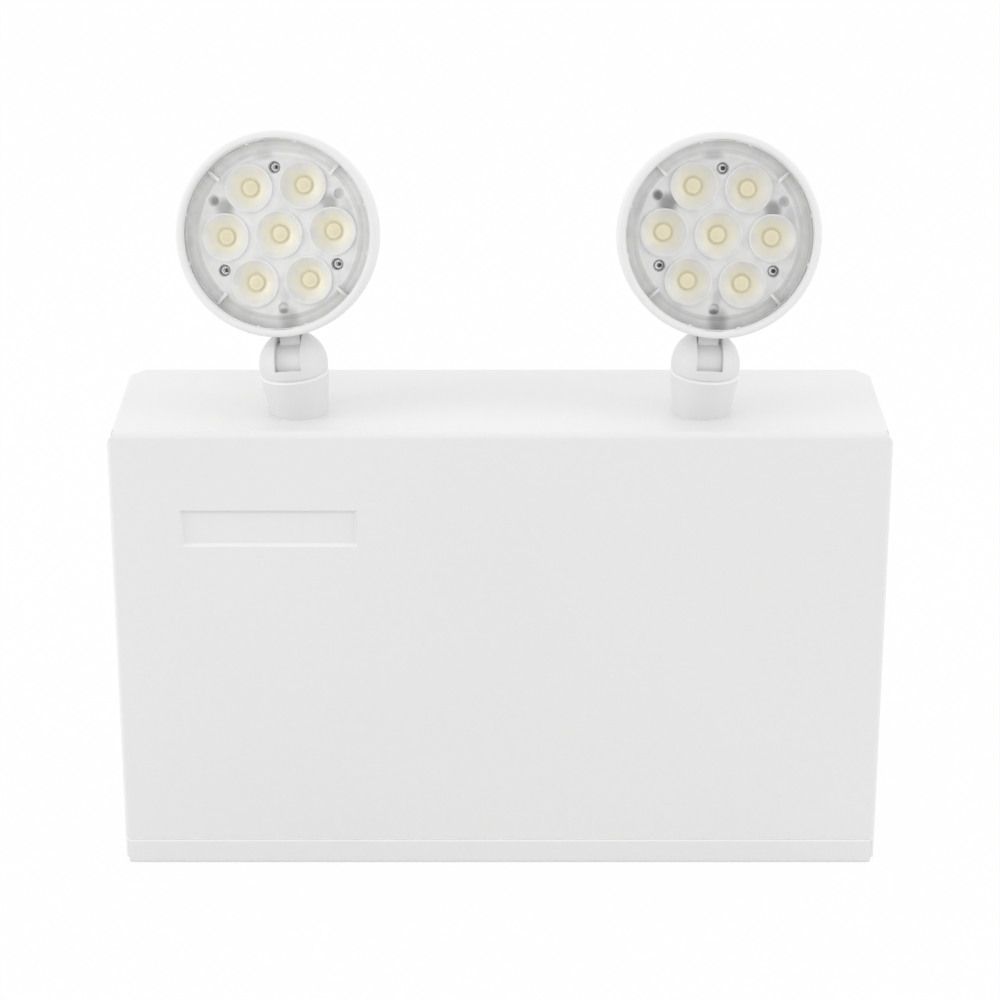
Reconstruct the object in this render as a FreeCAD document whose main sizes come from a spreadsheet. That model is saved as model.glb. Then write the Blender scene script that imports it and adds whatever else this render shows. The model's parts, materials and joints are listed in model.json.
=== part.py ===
"""Twin-head emergency light: a folded steel battery cabinet with two swivelling lamp heads.

Millimetres. The origin is the middle of the chassis' underside, half way between the cover's front and
the wall. +X is to the right as seen from the front, +Y points to the wall and +Z is up.
"""

import FreeCAD
import Part
import math
import os
from types import SimpleNamespace

import Sketcher
from FreeCAD import Placement, Rotation, Vector

SIZES = {
    # cabinet
    "cabinet_width": 340.0,
    "cabinet_depth": 84.0,
    "cabinet_height": 208.0,
    "sheet": 1.0,
    "fold_gap": 0.4,
    # folds of the front cover
    "side_bend": 2.0,
    "top_bend": 3.0,
    "hood_bend": 1.5,
    "hood_inset": 1.7,
    "hood_return": 12.0,
    "hood_clip": 6.5,
    "hood_clip_deep": 8.5,
    "shoulder_drop": 6.6,
    "corner_drop": 4.6,
    "cover_lift": 2.4,
    # strip pressed into the cover's front
    "strip_width": 77.0,
    "strip_height": 17.0,
    "strip_from_left": 30.5,
    "strip_from_top": 36.0,
    "strip_depth": 1.2,
    "strip_slope": 45.0,
    # folds of the chassis
    "lip_height": 11.2,
    "lip_inset": 1.6,
    "lip_clip": 2.0,
    "chassis_bend": 1.6,
    "flange_depth": 15.0,
    "flange_bottom": 22.0,
    "flange_top": 182.0,
    "hook_depth": 12.0,
    "hook_inset": 9.0,
    "panel_clip": 12.0,
    # wall fixings in the chassis back
    "wall_hole": 6.0,
    "wall_hole_span": 290.0,
    "wall_hole_low": 122.0,
    "wall_hole_high": 176.0,
    "knockout": 22.2,
    "knockout_cut": 0.8,
    "knockout_score": 0.5,
    "knockout_across": -70.0,
    "knockout_level": 150.0,
    # machine screws of the cabinet
    "screw": 4.0,
    "screw_head": 7.2,
    "screw_head_height": 2.2,
    "screw_reach": 6.0,
    "thread_gap": 0.05,
    "through_gap": 0.3,
    "cover_screw_low": 60.0,
    "cover_screw_high": 150.0,
    "cover_screw_setback": 9.0,
    # battery and its strap
    "battery_width": 151.0,
    "battery_height": 94.0,
    "battery_corner": 3.0,
    "battery_side_gap": 12.4,
    "strap_room": 16.1,
    "battery_lid_line": 10.0,
    "battery_lid_groove": 0.8,
    "seat_gap": 0.3,
    "terminal_width": 6.35,
    "terminal_thick": 0.8,
    "terminal_height": 6.0,
    "terminal_span": 118.0,
    "terminal_setback": 12.0,
    "strap_width": 22.0,
    "strap_bend": 2.0,
    "strap_clear": 1.8,
    "strap_tab": 18.0,
    # transformer
    "core_width": 57.0,
    "core_height": 48.0,
    "core_stack": 30.0,
    "core_leg": 19.0,
    "core_yoke": 9.75,
    "coil_bulge": 8.0,
    "coil_gap": 0.3,
    "core_foot_width": 78.0,
    "core_foot_thick": 2.0,
    "core_foot_span": 67.0,
    "core_side_gap": 54.4,
    "core_deep": 8.0,
    # charger board
    "board_width": 105.0,
    "board_height": 80.0,
    "board_thick": 1.6,
    "board_side_gap": 42.4,
    "board_level": 140.0,
    "board_margin": 5.0,
    "standoff": 6.0,
    "standoff_length": 10.0,
    "small_screw": 2.5,
    "small_head": 4.5,
    "small_head_height": 2.5,
    "small_reach": 6.0,
    "relay_width": 29.0,
    "relay_depth": 15.0,
    "relay_height": 20.0,
    "relay_aside": -28.5,
    "relay_rise": 22.0,
    "relay_round": 1.5,
    "sink_width": 40.0,
    "sink_depth": 22.0,
    "sink_height": 25.0,
    "sink_base": 3.0,
    "sink_fin": 1.6,
    "sink_aside": 19.5,
    "sink_rise": 18.0,
    "capacitor": 16.0,
    "capacitor_length": 25.0,
    "capacitor_neck": 0.8,
    "capacitor_aside": -28.5,
    "capacitor_rise": -18.0,
    "terminal_pitch": 9.0,
    "terminal_block_depth": 12.0,
    "terminal_block_height": 14.0,
    "terminal_block_aside": 19.5,
    "terminal_block_rise": -26.0,
    "terminal_mouth": 4.0,
    # test switch and pilot lamp in the cover's right side
    "side_controls_setback": 24.0,
    "switch_level": 60.0,
    "switch_bush": 11.8,
    "switch_length": 18.0,
    "switch_flange": 14.6,
    "switch_flange_thick": 1.6,
    "switch_nut_flats": 15.0,
    "switch_nut_thick": 2.5,
    "button": 7.6,
    "button_gap": 0.08,
    "button_proud": 3.0,
    "button_travel": 2.0,
    "button_length": 12.0,
    "pilot_level": 84.0,
    "pilot_bush": 6.8,
    "pilot_length": 12.0,
    "pilot_flange": 8.6,
    "pilot_flange_thick": 1.0,
    "pilot_lens": 5.0,
    "pilot_nut_flats": 10.0,
    "pilot_nut_thick": 2.0,
    "panel_gap": 0.1,
    # swivel of each head
    "head_spacing": 176.4,
    "head_setback": 28.8,
    "pivot_rise": 21.8,
    "dome_radius": 15.0,
    "dome_drop": 3.0,
    "rim_gap": 0.3,
    "base_rim_wall": 1.85,
    "base_rim_chamfer": 1.2,
    "foot_taper": 2.7,
    "skirt_radius": 12.5,
    "skirt_depth": 12.0,
    "swivel_gap": 0.1,
    "bead_rise": 0.6,
    "bead_low": 10.5,
    "bead_high": 8.5,
    "base_web": 2.5,
    "base_wall": 3.0,
    "nipple": 14.0,
    "nipple_bore": 9.0,
    "nipple_length": 9.0,
    "locknut_flats": 19.0,
    "locknut_thick": 4.0,
    "slot_width": 11.5,
    "tilt_limit": 65.0,
    "tilt_pin": 4.0,
    "press_gap": 0.02,
    "tilt_gap": 0.08,
    "barrel_radius": 9.6,
    "barrel_gap": 0.35,
    "barrel_side_gap": 0.3,
    "neck_side_gap": 1.35,
    "neck_thick": 9.0,
    "neck_gap": 0.3,
    "wire_groove": 4.0,
    "wire_groove_wall": 1.0,
    # lamp head: heights are measured back from the bezel's front face
    "head_clear": 1.9,
    "face_ahead": 20.0,
    "bezel_radius": 44.3,
    "bezel_band": 3.3,
    "bezel_round": 1.6,
    "bezel_throat": 1.1,
    "bezel_lip": 2.0,
    "bezel_wall": 1.2,
    "bezel_depth": 8.8,
    "bezel_draft": 0.3,
    "nub_rise": 0.9,
    "nub_width": 1.3,
    "nub_angle": 15.0,
    "snap_width": 8.4,
    "snap_depth": 1.0,
    "fit_gap": 0.2,
    "lens_thick": 2.0,
    "housing_rim_wall": 1.5,
    "shoulder_inset": 0.4,
    "waist_inset": 4.4,
    "housing_waist_back": 17.4,
    "back_inset": 14.3,
    "housing_depth": 33.0,
    "housing_crown_radius": 22.0,
    "housing_wall": 2.0,
    "plate_gap": 0.3,
    "plate_back": 6.6,
    "plate_thick": 1.5,
    "plate_wall": 0.8,
    "channel_width": 5.3,
    "channel_depth": 0.9,
    "channel_slope": 2.0,
    "rib_width": 1.3,
    "cup_ring": 23.6,
    "cup_web": 1.3,
    "emitter_gap": 0.25,
    "cup_wall": 0.8,
    "cup_proud": 0.8,
    "cup_depth": 4.5,
    "cup_curve": 16.0,
    "lamp_screw_ring": 28.7,
    "lamp_screw_window": 5.4,
    "lamp_board_gap": 1.1,
    "lamp_board_thick": 1.6,
    "dimple": 4.6,
    "dimple_depth": 1.0,
    "dimple_ring": 31.8,
    "board_notch": 9.0,
    "board_notch_depth": 4.0,
    "emitter_radius": 3.7,
    "emitter_base": 0.7,
    "emitter_crown_height": 1.2,
    "boss_radius": 3.2,
    # how far each swivel leans outwards, and how its head is turned
    "left_lean": 5.4,
    "left_pan": -6.5,
    "left_tilt": -16.3,
    "right_lean": 4.2,
    "right_pan": 3.8,
    "right_tilt": -14.0,
}

PAST = 1.0  # how far a cut runs past the face it opens
CUPS_ROUND = 6
LAMP_SCREWS = 3
RIBS = 4
NUB_PAIRS = 4
SNAPS = 2
SINK_FINS = 5
POLES = 5
HEAD_CROWN = 0.6  # share of a screw head's height that is rounded
SOCKET_FLOOR = 0.4  # height of a screw's socket floor, as a share of its head's height
SOCKET_FLATS = 0.45  # socket's size across flats, as a share of its head's width

AXIS_SIGN = {"XY_Plane": 1, "XZ_Plane": -1, "YZ_Plane": 1}
TO_X = Rotation(Vector(0, 1, 0), 90)
TO_MINUS_X = Rotation(Vector(0, 1, 0), -90)
TO_MINUS_Y = Rotation(Vector(1, 0, 0), 90)
UPRIGHT = Rotation()

doc = FreeCAD.newDocument("twin_head_emergency_light")
sheet = doc.addObject("Spreadsheet::Sheet", "Sizes")
for row, (alias, number) in enumerate(SIZES.items(), start=1):
    sheet.set(f"A{row}", alias)
    sheet.set(f"B{row}", str(number))
    sheet.setAlias(f"B{row}", alias)
doc.recompute()


# Numbers that carry their spreadsheet formula


def formula(number):
    """The text that stands for a number in an expression."""
    return number.formula if isinstance(number, Size) else f"({float(number)})"


class Size(float):
    """A number that remembers the spreadsheet formula it came from."""

    def __new__(cls, value, text):
        size = float.__new__(cls, value)
        size.formula = text
        return size

    def __add__(self, other):
        return Size(float(self) + float(other), f"({self.formula} + {formula(other)})")

    def __radd__(self, other):
        return Size(float(other) + float(self), f"({formula(other)} + {self.formula})")

    def __sub__(self, other):
        return Size(float(self) - float(other), f"({self.formula} - {formula(other)})")

    def __rsub__(self, other):
        return Size(float(other) - float(self), f"({formula(other)} - {self.formula})")

    def __mul__(self, other):
        return Size(float(self) * float(other), f"({self.formula} * {formula(other)})")

    def __rmul__(self, other):
        return Size(float(other) * float(self), f"({formula(other)} * {self.formula})")

    def __truediv__(self, other):
        return Size(float(self) / float(other), f"({self.formula} / {formula(other)})")

    def __neg__(self):
        return Size(-float(self), f"(0 - {self.formula})")


def root(size):
    """Square root of a size."""
    return Size(math.sqrt(size), f"sqrt({size.formula})")


def sine(angle):
    return Size(math.sin(math.radians(angle)), f"sin({angle.formula} * 1 deg)")


def cosine(angle):
    return Size(math.cos(math.radians(angle)), f"cos({angle.formula} * 1 deg)")


dim = SimpleNamespace(**{name: Size(sheet.get(name), f"Sizes.{name}") for name in SIZES})


def bind(thing, path, size):
    """Drives one property of a document object by the spreadsheet."""
    if isinstance(size, Size):
        thing.setExpression(path, size.formula)


# Outlines


def circle(across, up, radius):
    return SimpleNamespace(across=across, up=up, radius=radius)


def rectangle(left, bottom, right, top):
    return [(left, bottom), (right, bottom), (right, top), (left, top)]


def mirrored(outline):
    """The same outline on the other side of the vertical axis."""
    return [(-point[0], *point[1:2], *(-radius for radius in point[2:])) for point in outline]


def hexagon(flats):
    """Hexagon with its corners to the left and right, by its size across flats."""
    side = flats / math.sqrt(3)
    half = flats / 2
    return [(side, 0), (side / 2, half), (-side / 2, half), (-side, 0), (-side / 2, -half), (side / 2, -half)]


def heading(start, finish):
    """Unit step from one corner of a square-cornered path to the next."""
    step = (float(finish[0]) - float(start[0]), float(finish[1]) - float(start[1]))
    return tuple(0 if abs(part) < 1e-9 else math.copysign(1, part) for part in step)


def folded(corners, wall, bend):
    """Section of a folded sheet: corners run along one face, with the sheet on their left and square bends.

    Each bend has the outer radius given on its outside and that radius less the wall on its inside.
    """
    steps = [heading(*pair) for pair in zip(corners, corners[1:])]
    left = [(-step[1], step[0]) for step in steps]
    face = [corners[0]]
    other = [(corners[0][0] + left[0][0] * wall, corners[0][1] + left[0][1] * wall)]
    for corner, before, after, side, next_side in zip(corners[1:], steps, steps[1:], left, left[1:]):
        turn = before[0] * after[1] - before[1] * after[0]
        near = bend if turn > 0 else bend - wall
        far = bend - wall if turn > 0 else bend
        twin = [corner[i] + (side[i] + next_side[i]) * wall for i in (0, 1)]
        face.append(tuple(corner[i] - before[i] * near for i in (0, 1)))
        face.append((*(corner[i] + after[i] * near for i in (0, 1)), turn * near))
        other.append(tuple(twin[i] - before[i] * far for i in (0, 1)))
        other.append((*(twin[i] + after[i] * far for i in (0, 1)), turn * far))
    face.append(corners[-1])
    other.append(tuple(corners[-1][i] + left[-1][i] * wall for i in (0, 1)))
    return face + reversed_path(other)


def reversed_path(path):
    """The same open path walked the other way, with each arc turning the other way."""
    points = [point[:2] for point in path]
    bends = [point[2:] for point in path[1:]] + [()]
    walked = [(*point, *(-radius for radius in bend)) for point, bend in zip(points, bends)]
    return walked[::-1]


def hold_point(sketch, edge, end, across, up):
    """Ties one point of a sketch to its distances from the sketch's origin."""
    for kind, distance in (("DistanceX", across), ("DistanceY", up)):
        rule = sketch.addConstraint(Sketcher.Constraint(kind, -1, 1, edge, end, float(distance)))
        bind(sketch, f"Constraints[{rule}]", distance)


def hold_radius(sketch, edge, radius):
    rule = sketch.addConstraint(Sketcher.Constraint("Radius", edge, float(radius)))
    bind(sketch, f"Constraints[{rule}]", radius)


def arc_between(start, finish, radius):
    """Short arc from start to finish: it turns left if the radius is positive, right if it is negative."""
    chord = finish - start
    aside = Vector(-chord.y, chord.x, 0).normalize() * math.copysign(1, radius)
    centre = (start + finish) / 2 + aside * math.sqrt(max(radius**2 - chord.Length**2 / 4, 0))
    first, last = (start, finish) if radius > 0 else (finish, start)
    angles = [math.atan2(end.y - centre.y, end.x - centre.x) for end in (first, last)]
    return Part.ArcOfCircle(Part.Circle(centre, Vector(0, 0, 1), abs(radius)), *angles)


def draw(sketch, outline):
    """Draws a circle or a closed path, held by constraints that follow the spreadsheet.

    A path's point is (x, y), or (x, y, radius) where the edge that arrives at it is an arc of that radius.
    """
    if isinstance(outline, SimpleNamespace):
        centre = Vector(outline.across, outline.up, 0)
        edge = sketch.addGeometry(Part.Circle(centre, Vector(0, 0, 1), float(outline.radius)))
        hold_point(sketch, edge, 3, outline.across, outline.up)
        hold_radius(sketch, edge, outline.radius)
        return
    edges = []
    for before, point in zip([outline[-1]] + outline, outline):
        start = Vector(float(before[0]), float(before[1]), 0)
        finish = Vector(float(point[0]), float(point[1]), 0)
        if len(point) == 2:
            edges.append((sketch.addGeometry(Part.LineSegment(start, finish)), 1, 2))
        else:
            ends = (1, 2) if point[2] > 0 else (2, 1)
            edges.append((sketch.addGeometry(arc_between(start, finish, float(point[2]))), *ends))
    for (edge, begin, end), (following, start, finish), point in zip(edges, edges[1:] + edges[:1], outline):
        sketch.addConstraint(Sketcher.Constraint("Coincident", edge, end, following, start))
        hold_point(sketch, edge, end, *point[:2])
        if len(point) == 3:
            hold_radius(sketch, edge, point[2] if point[2] > 0 else -point[2])


# Features


def new_body(label):
    body = doc.addObject("PartDesign::Body", label)
    body.Label = label
    return body


def origin_feature(body, role):
    return next(feature for feature in body.Origin.OriginFeatures if feature.Role == role)


def new_sketch(body, name, plane, outlines, height=0, shift=0, turn=0):
    """Sketch on an origin plane, moved along its normal by height and along its x by shift, then turned."""
    sketch = body.newObject("Sketcher::SketchObject", name + "_sketch")
    sketch.AttachmentSupport = [(origin_feature(body, plane), "")]
    sketch.MapMode = "FlatFace"
    sketch.AttachmentOffset = Placement(Vector(shift, 0, height), Rotation(Vector(0, 0, 1), float(turn)))
    bind(sketch, "AttachmentOffset.Base.x", shift)
    bind(sketch, "AttachmentOffset.Base.z", height)
    for outline in outlines:
        draw(sketch, outline)
    return sketch


def extrude(body, name, plane, low, high, outlines, cut=False, turn=0):
    """Adds or cuts outlines between two levels along the axis that is square to the plane."""
    middle = (low + high) / 2 * AXIS_SIGN[plane]
    feature = body.newObject("PartDesign::Pocket" if cut else "PartDesign::Pad", name)
    feature.Profile = new_sketch(body, name, plane, outlines, height=middle, turn=turn)
    feature.SideType = "Symmetric"
    feature.Length = float(high - low)
    bind(feature, "Length", high - low)
    return feature


def revolve(body, name, outline, shift=0, cut=False, turn=0):
    """Turns an outline of (radius, height) points about the Z axis, or about an upright line at x = shift."""
    feature = body.newObject("PartDesign::Groove" if cut else "PartDesign::Revolution", name)
    profile = new_sketch(body, name, "XZ_Plane", [outline], shift=shift, turn=turn)
    feature.Profile = profile
    feature.ReferenceAxis = (profile, ["V_Axis"])
    feature.Angle = 360
    return feature


def repeat_round(body, name, feature, count):
    """Repeats a feature evenly about the body's Z axis."""
    pattern = body.newObject("PartDesign::PolarPattern", name)
    pattern.Originals = [feature]
    pattern.Axis = (origin_feature(body, "Z_Axis"), [""])
    pattern.Angle = 360
    pattern.Occurrences = count
    body.Tip = pattern


def place(thing, across=0, deep=0, up=0, rotation=UPRIGHT):
    """Sets a piece where the spreadsheet says, turned as given."""
    thing.Placement = Placement(Vector(float(across), float(deep), float(up)), rotation)
    for letter, distance in zip("xyz", (across, deep, up)):
        bind(thing, f"Placement.Base.{letter}", distance)
    return thing


def group(label, pieces):
    """Several like pieces that share one name."""
    compound = doc.addObject("Part::Compound", label)
    compound.Label = label
    compound.Links = pieces
    return compound


def new_screw(label, thick, reach, head, head_height):
    """Pan-head screw: the head's underside is at the origin, with the head above it and the shank below."""
    crown = head_height * HEAD_CROWN
    body = new_body(label)
    revolve(body, label + "_turned", [
        (0, -reach), (thick / 2, -reach), (thick / 2, 0), (head / 2, 0), (head / 2, head_height - crown),
        (head / 2 - crown, head_height, crown), (0, head_height),
    ])
    extrude(body, label + "_drive", "XY_Plane", head_height * SOCKET_FLOOR, head_height + PAST, [
        hexagon(head * SOCKET_FLATS)
    ], cut=True)
    return body


def new_cabinet_screw(label, reach):
    return new_screw(label, dim.screw, reach, dim.screw_head, dim.screw_head_height)


def new_small_screw(label):
    return new_screw(label, dim.small_screw, dim.small_reach, dim.small_head, dim.small_head_height)


def new_nut(label, flats, bore, thick):
    """Hexagon nut with its lower face at the origin."""
    body = new_body(label)
    extrude(body, label + "_hexagon", "XY_Plane", 0, thick, [hexagon(flats), circle(0, 0, bore)])
    return body


# Places that several pieces share

half_width = dim.cabinet_width / 2
front = -dim.cabinet_depth / 2
wall_plane = dim.cabinet_depth / 2
top = dim.cabinet_height
hood_half = half_width - dim.hood_inset
shoulder = top - dim.shoulder_drop
cover_back = wall_plane - dim.fold_gap
chassis_half = half_width - dim.lip_inset
lip_face = front - dim.fold_gap - dim.sheet
panel_face = wall_plane - dim.sheet
panel_top = top - dim.sheet - dim.fold_gap
floor = dim.sheet
head_across = dim.head_spacing / 2
head_deep = front + dim.head_setback
cover_screw_deep = wall_plane - dim.cover_screw_setback
side_controls_deep = wall_plane - dim.side_controls_setback
through_hole = dim.screw / 2 + dim.through_gap
tapped_hole = dim.screw / 2 + dim.thread_gap
small_through = dim.small_screw / 2 + dim.fit_gap
small_tapped = dim.small_screw / 2 + dim.thread_gap
battery_back = panel_face - (dim.chassis_bend - dim.sheet) - dim.seat_gap
battery_front = front + dim.sheet + dim.strap_room
battery_depth = battery_back - battery_front
battery_across = dim.sheet - chassis_half + dim.battery_side_gap + dim.battery_width / 2
strap_face = battery_front - dim.seat_gap
strap_level = floor + dim.battery_height + dim.seat_gap
strap_foot_end = front + dim.sheet + dim.strap_clear
strap_foot_deep = (strap_face + strap_foot_end - dim.sheet) / 2
strap_tab_level = strap_level + dim.strap_tab / 2 + dim.sheet
core_across = chassis_half - dim.sheet - dim.core_side_gap - dim.core_foot_width / 2
core_foot_half = dim.core_foot_span / 2
board_across = chassis_half - dim.sheet - dim.board_side_gap - dim.board_width / 2
board_face = panel_face - dim.standoff_length - dim.board_thick
board_corners = [
    (board_across + side * (dim.board_width / 2 - dim.board_margin),
     dim.board_level + level * (dim.board_height / 2 - dim.board_margin))
    for side in (-1, 1) for level in (-1, 1)
]
base_bore = dim.skirt_radius + dim.swivel_gap
base_radius = base_bore + dim.bead_rise + dim.base_rim_wall
foot_radius = base_radius - dim.foot_taper
housing_waist = dim.bezel_radius - dim.waist_inset
head_reach = housing_waist + dim.dome_radius + dim.head_clear
lens_back = dim.bezel_lip + dim.fit_gap + dim.lens_thick
flange_front = lens_back + dim.fit_gap
flange_back = flange_front + dim.plate_wall
housing_front = flange_back + dim.fit_gap
bezel_bore = dim.bezel_radius - dim.bezel_wall
lens_radius = bezel_bore - dim.fit_gap
housing_rim = bezel_bore - dim.fit_gap
plate_radius = housing_rim - dim.housing_rim_wall - dim.plate_gap
cup_mouth = dim.cup_ring / 2 - dim.cup_wall - dim.cup_web
cup_floor = dim.emitter_radius + dim.emitter_gap
cup_back = dim.plate_back - dim.cup_proud + dim.cup_depth
lamp_board_front = cup_back + dim.fit_gap
lamp_board_back = lamp_board_front + dim.lamp_board_thick


# Cabinet


def make_front_cover():
    """One folded sheet: front, two side flanges, and a hood whose own side returns lie inside the flanges."""
    body = new_body("front_cover")
    bend_end = top - dim.top_bend
    extrude(body, "front_and_sides", "XY_Plane", dim.cover_lift, bend_end, [folded(
        [(-half_width, cover_back), (-half_width, front), (half_width, front), (half_width, cover_back)],
        dim.sheet, dim.side_bend,
    )])
    extrude(body, "flange_tops", "YZ_Plane", -half_width - PAST, half_width + PAST, [
        rectangle(front + dim.side_bend, shoulder, cover_back + PAST, top)
    ], cut=True)
    bend_half = half_width - dim.sheet
    lap = dim.sheet
    cap_end = front + dim.top_bend + lap
    extrude(body, "front_bend", "YZ_Plane", -bend_half, bend_half, [folded(
        [(cap_end, top), (front, top), (front, bend_end - lap)], dim.sheet, dim.top_bend,
    )])
    return_end = top - dim.hood_return
    extrude(body, "hood", "XZ_Plane", front + dim.top_bend, cover_back, [folded(
        [(hood_half, return_end), (hood_half, top), (-hood_half, top), (-hood_half, return_end)],
        dim.sheet, dim.hood_bend,
    )])
    clip = [
        (hood_half, cover_back - dim.hood_clip_deep), (hood_half, cover_back),
        (hood_half - dim.hood_clip, cover_back),
    ]
    extrude(body, "rear_clips", "XY_Plane", return_end - PAST, top + PAST, [clip, mirrored(clip)], cut=True)
    for name, low in (("left_cap", -bend_half), ("right_cap", bend_half - dim.sheet)):
        extrude(body, name, "YZ_Plane", low, low + dim.sheet, [[
            (front + dim.top_bend, top), (front, bend_end, dim.top_bend), (front + lap, bend_end - lap),
            (front + lap, shoulder - lap), (cap_end, shoulder - lap), (cap_end, top),
        ]])
    edge = hood_half - dim.hood_bend
    slope = [
        (half_width, top - dim.corner_drop), (half_width + PAST, top - dim.corner_drop),
        (half_width + PAST, top + PAST), (edge, top + PAST), (edge, top),
    ]
    extrude(body, "corner_slopes", "XZ_Plane", front - PAST, cap_end, [
        slope, mirrored(slope)
    ], cut=True)
    press_strip(body)
    make_cover_holes(body)


def press_strip(body):
    """Shallow strip pressed into the front: raised inside and sunk outside, with sloped edges."""
    left = dim.strip_from_left - half_width
    right = left + dim.strip_width
    high = top - dim.strip_from_top
    low = high - dim.strip_height
    inner = front + dim.sheet
    extrude(body, "strip_back", "XZ_Plane", inner, inner + dim.strip_depth, [
        rectangle(left - dim.sheet, low - dim.sheet, right + dim.sheet, high + dim.sheet)
    ])
    pocket = body.newObject("PartDesign::Pocket", "strip_front")
    pocket.Profile = new_sketch(body, "strip_front", "XZ_Plane", [
        rectangle(left, low, right, high)
    ], height=-front)
    pocket.Length = float(dim.strip_depth)
    bind(pocket, "Length", dim.strip_depth)
    bind(pocket, "TaperAngle", -dim.strip_slope)


def make_cover_holes(body):
    """Holes for the swivels in the top, for screws in both sides and for the controls in the right side."""
    nipple_hole = dim.nipple / 2 + dim.fit_gap
    extrude(body, "swivel_holes", "XY_Plane", top - dim.sheet - PAST, top + PAST, [
        circle(side * head_across, head_deep, nipple_hole) for side in (-1, 1)
    ], cut=True)
    extrude(body, "screw_holes", "YZ_Plane", -half_width - PAST, half_width + PAST, [
        circle(cover_screw_deep, level, through_hole) for level in (dim.cover_screw_low, dim.cover_screw_high)
    ], cut=True)
    extrude(body, "control_holes", "YZ_Plane", half_width - dim.sheet - PAST, half_width + PAST, [
        circle(side_controls_deep, dim.switch_level, dim.switch_bush / 2 + dim.panel_gap),
        circle(side_controls_deep, dim.pilot_level, dim.pilot_bush / 2 + dim.panel_gap),
    ], cut=True)


def make_back_chassis():
    """One folded sheet: front lip, floor and back panel, with flanges that the cover hooks and screws on."""
    body = new_body("back_chassis")
    extrude(body, "lip_floor_back", "YZ_Plane", -chassis_half, chassis_half, [folded(
        [(lip_face, dim.lip_height), (lip_face, 0), (wall_plane, 0), (wall_plane, panel_top)],
        dim.sheet, dim.chassis_bend,
    )])
    hook_half = hood_half - dim.hook_inset
    extrude(body, "top_hook", "XY_Plane", panel_top - dim.sheet, panel_top, [
        rectangle(-hook_half, wall_plane - dim.hook_depth, hook_half, wall_plane)
    ])
    flange = rectangle(chassis_half - dim.sheet, wall_plane - dim.flange_depth, chassis_half, wall_plane)
    extrude(body, "side_flanges", "XY_Plane", dim.flange_bottom, dim.flange_top, [flange, mirrored(flange)])
    clip = [
        (chassis_half, panel_top - dim.panel_clip), (chassis_half, panel_top),
        (chassis_half - dim.panel_clip, panel_top),
    ]
    extrude(body, "panel_clips", "XZ_Plane", panel_face - PAST, wall_plane + PAST, [
        clip, mirrored(clip)
    ], cut=True)
    corner = [(chassis_half, dim.lip_clip), (chassis_half, 0), (chassis_half - dim.lip_clip, 0)]
    extrude(body, "lip_clips", "XZ_Plane", lip_face - PAST, front, [corner, mirrored(corner)], cut=True)
    make_wall_fixings(body)
    make_chassis_holes(body)


def make_wall_fixings(body):
    """Four wall holes and a scored knockout in the back panel."""
    extrude(body, "wall_holes", "XZ_Plane", panel_face - PAST, wall_plane + PAST, [
        circle(side * dim.wall_hole_span / 2, level, dim.wall_hole / 2)
        for side in (-1, 1) for level in (dim.wall_hole_low, dim.wall_hole_high)
    ], cut=True)
    extrude(body, "knockout_score", "XZ_Plane", wall_plane - dim.knockout_score, wall_plane + PAST, [
        circle(dim.knockout_across, dim.knockout_level, dim.knockout / 2),
        circle(dim.knockout_across, dim.knockout_level, dim.knockout / 2 - dim.knockout_cut),
    ], cut=True)


def make_chassis_holes(body):
    """Tapped holes for the cover screws, the strap's two screws and the transformer's two screws."""
    extrude(body, "flange_holes", "YZ_Plane", -chassis_half - PAST, chassis_half + PAST, [
        circle(cover_screw_deep, level, tapped_hole) for level in (dim.cover_screw_low, dim.cover_screw_high)
    ], cut=True)
    extrude(body, "floor_holes", "XY_Plane", -PAST, floor + PAST, [
        circle(battery_across, strap_foot_deep, tapped_hole),
        circle(core_across - core_foot_half, dim.core_deep, tapped_hole),
        circle(core_across + core_foot_half, dim.core_deep, tapped_hole),
    ], cut=True)
    extrude(body, "strap_hole", "XZ_Plane", panel_face - PAST, wall_plane + PAST, [
        circle(battery_across, strap_tab_level, tapped_hole)
    ], cut=True)


def make_cover_screws():
    """Four screws through the cover's sides into the chassis flanges."""
    screws = []
    for side, turn in ((-1, TO_MINUS_X), (1, TO_X)):
        for level in (dim.cover_screw_low, dim.cover_screw_high):
            screw = new_cabinet_screw("cover_screw", dim.screw_reach)
            screws.append(place(screw, side * half_width, cover_screw_deep, level, turn))
    group("cover_screws", screws)


# Battery


def make_battery():
    """Sealed battery with a lid line round its top and a dip beside each terminal."""
    half = dim.battery_width / 2
    round_corner = dim.battery_corner
    outline = [
        (half, battery_depth - round_corner), (half - round_corner, battery_depth, round_corner),
        (round_corner - half, battery_depth), (-half, battery_depth - round_corner, round_corner),
        (-half, round_corner), (round_corner - half, 0, round_corner),
        (half - round_corner, 0), (half, round_corner, round_corner),
    ]
    body = new_body("battery")
    extrude(body, "battery_case", "XY_Plane", 0, dim.battery_height, [outline])
    line = dim.battery_height - dim.battery_lid_line
    groove = dim.battery_lid_groove
    rim = [rectangle(-half - PAST, -PAST, half + PAST, battery_depth + PAST),
           rectangle(groove - half, groove, half - groove, battery_depth - groove)]
    extrude(body, "lid_line", "XY_Plane", line, line + groove, rim, cut=True)
    place(body, battery_across, battery_front, floor)
    blades = []
    for side in (-1, 1):
        blade = new_body("battery_blade")
        extrude(blade, "blade", "YZ_Plane", -dim.terminal_thick / 2, dim.terminal_thick / 2, [
            rectangle(-dim.terminal_width / 2, 0, dim.terminal_width / 2, dim.terminal_height)
        ])
        across = battery_across + side * dim.terminal_span / 2
        deep = battery_front + dim.terminal_setback
        blades.append(place(blade, across, deep, floor + dim.battery_height))
    group("battery_terminals", blades)


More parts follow.
